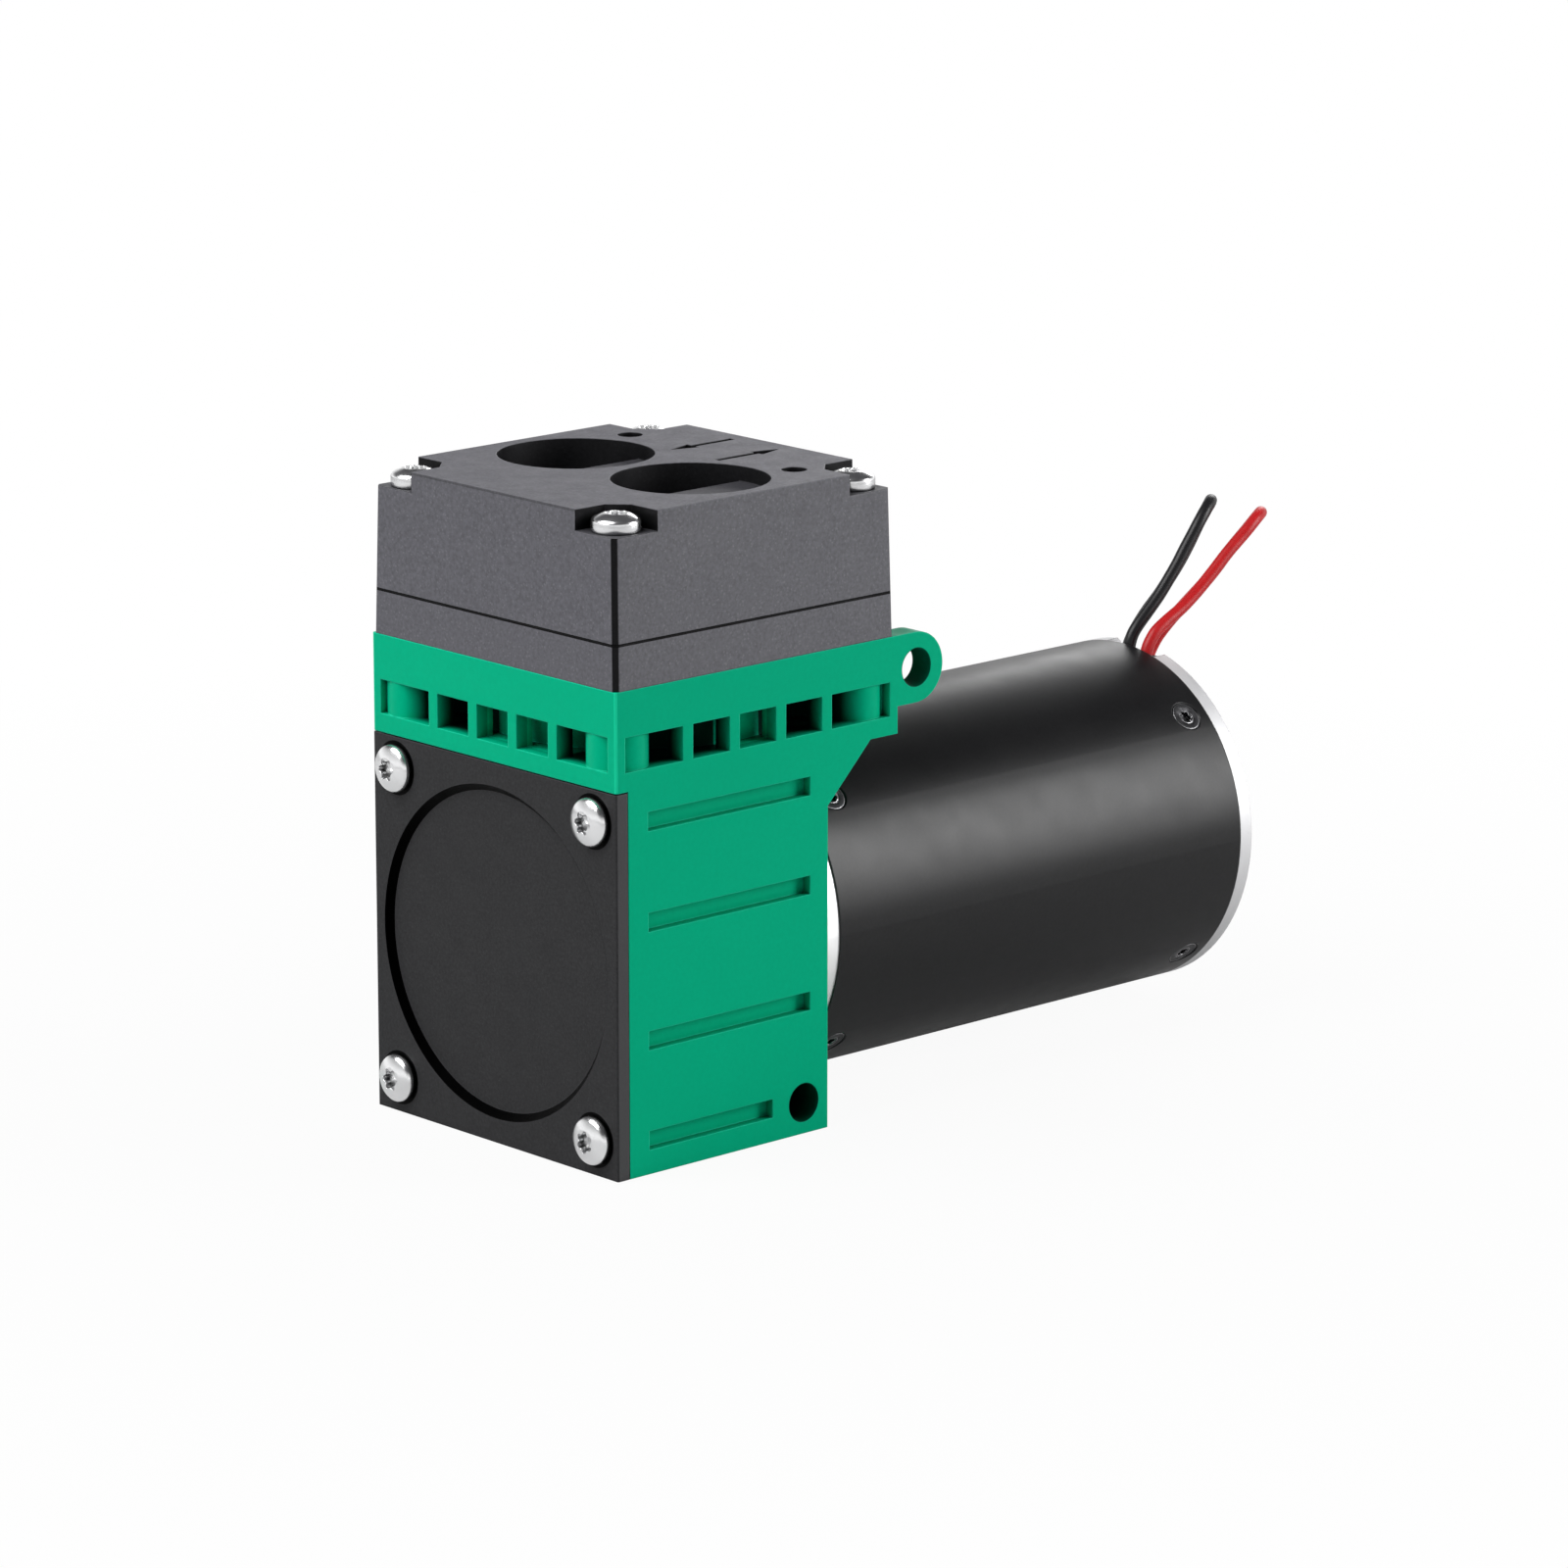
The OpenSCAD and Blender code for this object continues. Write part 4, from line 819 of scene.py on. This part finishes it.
def make_tip(name, path, look):
    """Stripped and tinned end of a lead: seven twisted strands that go on round the coil."""
    cx, cy = COIL
    end = path[-1]
    angle = math.atan2(end.y - cy, end.x - cx)
    r = math.hypot(end.x - cx, end.y - cy)
    length, drawn_in = 4.2, 1.1
    strand_r, twist, taper = 0.165, 5.5, 0.25
    steps, outer, sides = 26, 6, 8
    centres = []
    for n in range(steps + 1):
        t = n / steps
        rr = r - drawn_in * t
        a = angle - length * t / r
        centres.append(Vector((cx + rr * math.cos(a), cy + rr * math.sin(a), end.z)))
    shape = Shape()
    for s in range(outer + 1):
        rings = []
        for n, c in enumerate(centres):
            ahead = centres[min(n + 1, steps)] - centres[max(n - 1, 0)]
            u = Vector((0, 0, 1))
            v = ahead.normalized().cross(u)
            if s < outer:
                a = 2 * math.pi * s / outer + twist * n / steps
                c = c + (u * math.cos(a) + v * math.sin(a)) * strand_r * 1.9
            thick = 1 - taper * (n / steps) ** 6
            ring = []
            for k in range(sides):
                b = 2 * math.pi * k / sides
                ring.append(c + (u * math.cos(b) + v * math.sin(b)) * strand_r * thick)
            rings.append(ring)
        shape.rings(rings, cap_start=True, cap_end=True)
    return add_mesh(name, shape, look, 60)


def make_tie(look):
    """Flat cable tie round the coils."""
    lo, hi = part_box("lead_tie")
    lo, hi = lo / MM, hi / MM
    mid_y = (lo.y + hi.y) / 2
    half_w = (hi.y - lo.y) / 2
    inset, corner = 0.2, 0.7
    x0, x1 = lo.x + inset + corner, hi.x - inset - corner
    z0, z1 = lo.z + inset + corner, hi.z - inset - corner
    section = [(-half_w, -0.16), (-half_w, 0.16), (-half_w + 0.12, 0.2), (half_w - 0.12, 0.2),
               (half_w, 0.16), (half_w, -0.16), (half_w - 0.12, -0.2), (-half_w + 0.12, -0.2)]
    rings = []
    for cx, cz, start in ((x1, z1, 0), (x0, z1, 90), (x0, z0, 180), (x1, z0, 270)):
        for k in range(7):
            a = math.radians(start + 15 * k)
            nx, nz = math.cos(a), math.sin(a)
            x, z = cx + corner * nx, cz + corner * nz
            rings.append([(x + nx * d, mid_y + w, z + nz * d) for w, d in section])
    rings.append(rings[0])
    shape = Shape()
    shape.rings(rings)
    obj = add_mesh("coil_tie", shape, look, 40)
    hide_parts("lead_tie")
    return obj


def make_leads(looks):
    tie = make_tie(looks["nylon"])
    for colour, route, z in (("black", BLACK_ROUTE, 1.175), ("red", RED_ROUTE, 2.775)):
        name = colour + "_lead_wire"
        obj, path, length = make_lead(name, route, z, looks[colour + "_lead"],
                                      (colour + "_lead", colour + "_lead_coil"))
        tip = make_tip(colour + "_lead_tip", path, looks["tin"])


# Screws
def place(origin, axis, turn):
    """A placement whose +Z is the given axis."""
    z = Vector(axis).normalized()
    x = z.orthogonal().normalized()
    y = z.cross(x)
    base = Matrix((x, y, z)).transposed().to_4x4()
    return Matrix.Translation(Vector(origin)) @ base @ Matrix.Rotation(turn, 4, "Z")


def make_screws(name, node, spots, screw, look):
    """One screw put at each spot, its drive turned at random."""
    shape = Shape()
    rng = random.Random(name)
    for origin, axis in spots:
        shape.put(screw, place(origin, axis, rng.uniform(0, math.pi / 3)))
    obj = add_mesh(name, shape, look, 32)
    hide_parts(node)


def make_fasteners(looks):
    corners = [(sx, sz) for sx in (-1, 1) for sz in (-1, 1)]
    around = [(math.sin(math.radians(a)), math.cos(math.radians(a))) for a in (45, 135, 225, 315)]
    cover = [((sx * COVER_SCREW_X, -17.0, COVER_MID_Z + sz * COVER_SCREW_UP), (0, -1, 0))
             for sx, sz in corners]
    head = [((sx * 17.3, HEAD_MID_Y + sy * 17.75, 73.5), (0, 0, 1)) for sx, sy in corners]
    flange = [((14.2 * s, 11.0, AXIS_Z + 14.2 * c), (0, -1, 0)) for s, c in around]
    m3_r, m3_pitch, m3_head_r, m3_drive = 1.45, 0.5, 2.8, 1.15
    for group, spots, head_h, sink, length, thread_l in (
            ("cover", cover, 1.75, 1.0, 9.8, 7.5),
            ("head", head, 2.25, 1.2, 25.2, 8.0),
            ("flange", flange, 2.0, 1.05, 8.4, 7.0)):
        screw = pan_head(m3_head_r, head_h, m3_drive, sink)
        shank(screw, m3_r, length, m3_pitch, thread_l)
        make_screws(group + "_pan_screws", group + "_screws", spots, screw, looks["zinc"])
    face_r = 20.85
    ends = [((face_r * s, y, AXIS_Z + face_r * c), (s, 0, c))
            for y in (21.4, 80.0) for s, c in around]
    screw = flat_head(1.85, 0.9, 0.95, 0.75, 0.55)
    shank(screw, 0.95, 3.6, 0.4, 2.7)
    make_screws("tube_flat_screws", "tube_screws", ends, screw, looks["black_steel"])


def make_port_threads(looks):
    """Helical thread on the wall of each port bore."""
    wall_r, depth, pitch, top = 2.52, 0.3, 0.8, 70.2
    count, turns = 36, 6
    for name, x in (("inlet_port_thread", -15.05), ("outlet_port_thread", 4.65)):
        rings = []
        for n in range(count * turns + 1):
            a = 2 * math.pi * n / count
            z = top - pitch * n / count
            fade = min(1, n / count, (count * turns - n) / count)
            crest = wall_r - depth * fade
            rings.append([(x + r * math.cos(a), HEAD_MID_Y + r * math.sin(a), z + dz)
                          for r, dz in ((wall_r, -0.36), (crest, -0.06),
                                        (crest, 0.06), (wall_r, 0.36))])
        shape = Shape()
        shape.rings(rings, cap_start=True, cap_end=True)
        add_mesh(name, shape, looks["head"], 40)


# Floor, world and lights
def make_floor():
    """Plain pale floor that keeps a faint shadow near the object and meets the white background."""
    mesh = bpy.data.meshes.new("floor")
    count = 96
    size = 4.0
    verts = [(size * math.cos(2 * math.pi * k / count), size * math.sin(2 * math.pi * k / count), 0)
             for k in range(count)]
    mesh.from_pydata(verts, [], [tuple(range(count))])
    obj = bpy.data.objects.new("floor", mesh)
    scene.collection.objects.link(obj)
    look = Look("floor_white")
    look.tree.nodes.remove(look.shader)
    diffuse = look.node("ShaderNodeBsdfDiffuse", {0: (0.52, 0.52, 0.52, 1)})
    glow = look.node("ShaderNodeEmission", {0: (1, 1, 1, 1)})
    paths = look.node("ShaderNodeLightPath")
    away = look.node("ShaderNodeVectorMath", operation="LENGTH")
    look.link(look.coord, away.inputs[0])
    share = look.remap(away.outputs["Value"], 0.05, 0.24, 0.94, 1.0)
    seen = look.most(paths.outputs["Is Camera Ray"],
                     look.times(paths.outputs["Is Glossy Ray"], 0.1))
    seen = look.most(seen, paths.outputs["Is Transmission Ray"])
    both = look.node("ShaderNodeMixShader")
    look.link(look.times(seen, share), both.inputs[0])
    look.link(diffuse.outputs[0], both.inputs[1])
    look.link(glow.outputs[0], both.inputs[2])
    look.link(both.outputs[0], look.out.inputs[0])
    mesh.materials.append(look.mat)


def make_world():
    """White behind the object, and a studio bright low down and dark above for shiny surfaces."""
    world = bpy.data.worlds.new("studio")
    scene.world = world
    world.use_nodes = True
    tree = world.node_tree
    tree.nodes.clear()

    def background(colour):
        return add_node(tree, "ShaderNodeBackground", {0: (*colour, 1), 1: 1}).outputs[0]

    def choose(factor, a, b):
        made = add_node(tree, "ShaderNodeMixShader")
        for socket, source in zip(made.inputs, (factor, a, b)):
            tree.links.new(source, socket)
        return made.outputs[0]

    split = add_node(tree, "ShaderNodeSeparateXYZ")
    tree.links.new(add_node(tree, "ShaderNodeTexCoord").outputs["Generated"], split.inputs[0])
    ramp = add_node(tree, "ShaderNodeValToRGB")
    low, high = ramp.color_ramp.elements
    low.position, low.color = 0.12, (1, 1, 1, 1)
    high.position, high.color = 0.5, (0.06, 0.06, 0.063, 1)
    tree.links.new(split.outputs["Z"], ramp.inputs[0])
    mirror = background((1, 1, 1))
    tree.links.new(ramp.outputs[0], mirror.node.inputs[0])

    paths = add_node(tree, "ShaderNodeLightPath").outputs
    seen = add_node(tree, "ShaderNodeMath", operation="MAXIMUM")
    tree.links.new(paths["Is Camera Ray"], seen.inputs[0])
    tree.links.new(paths["Is Transmission Ray"], seen.inputs[1])
    studio = choose(paths["Is Glossy Ray"], background((0.22, 0.22, 0.225)), mirror)
    both = choose(seen.outputs[0], studio, background((1, 1, 1)))
    tree.links.new(both, add_node(tree, "ShaderNodeOutputWorld").inputs[0])


def softbox(name, direction, distance, size, radiance, target=(0, 30, 35)):
    """Area light that faces the object, its brightness given as seen in a mirror."""
    data = bpy.data.lights.new(name, "AREA")
    data.shape = "RECTANGLE"
    data.size, data.size_y = size
    data.energy = radiance * math.pi * size[0] * size[1]
    obj = bpy.data.objects.new(name, data)
    aim = Vector(target) * MM
    away = Vector(direction).normalized()
    obj.location = aim + away * distance
    obj.rotation_euler = away.to_track_quat("Z", "Y").to_euler()
    obj.visible_camera = False
    scene.collection.objects.link(obj)


def make_lights():
    softbox("key", (-0.2, -0.66, 0.86), 0.8, (0.6, 0.6), 6.5)
    softbox("right_rear", (0.638, 0.658, 0.40), 0.8, (0.32, 0.36), 9.6)
    softbox("right_low", (0.685, 0.707, 0.09), 0.8, (0.32, 0.18), 4.6)
    softbox("behind", (-0.5, 0.8, 0.33), 0.9, (0.36, 0.3), 3.2)


make_camera()
looks = make_looks()
make_leads(looks)
dress_nodes(looks)
make_fasteners(looks)
make_port_threads(looks)
make_floor()
make_world()
make_lights()
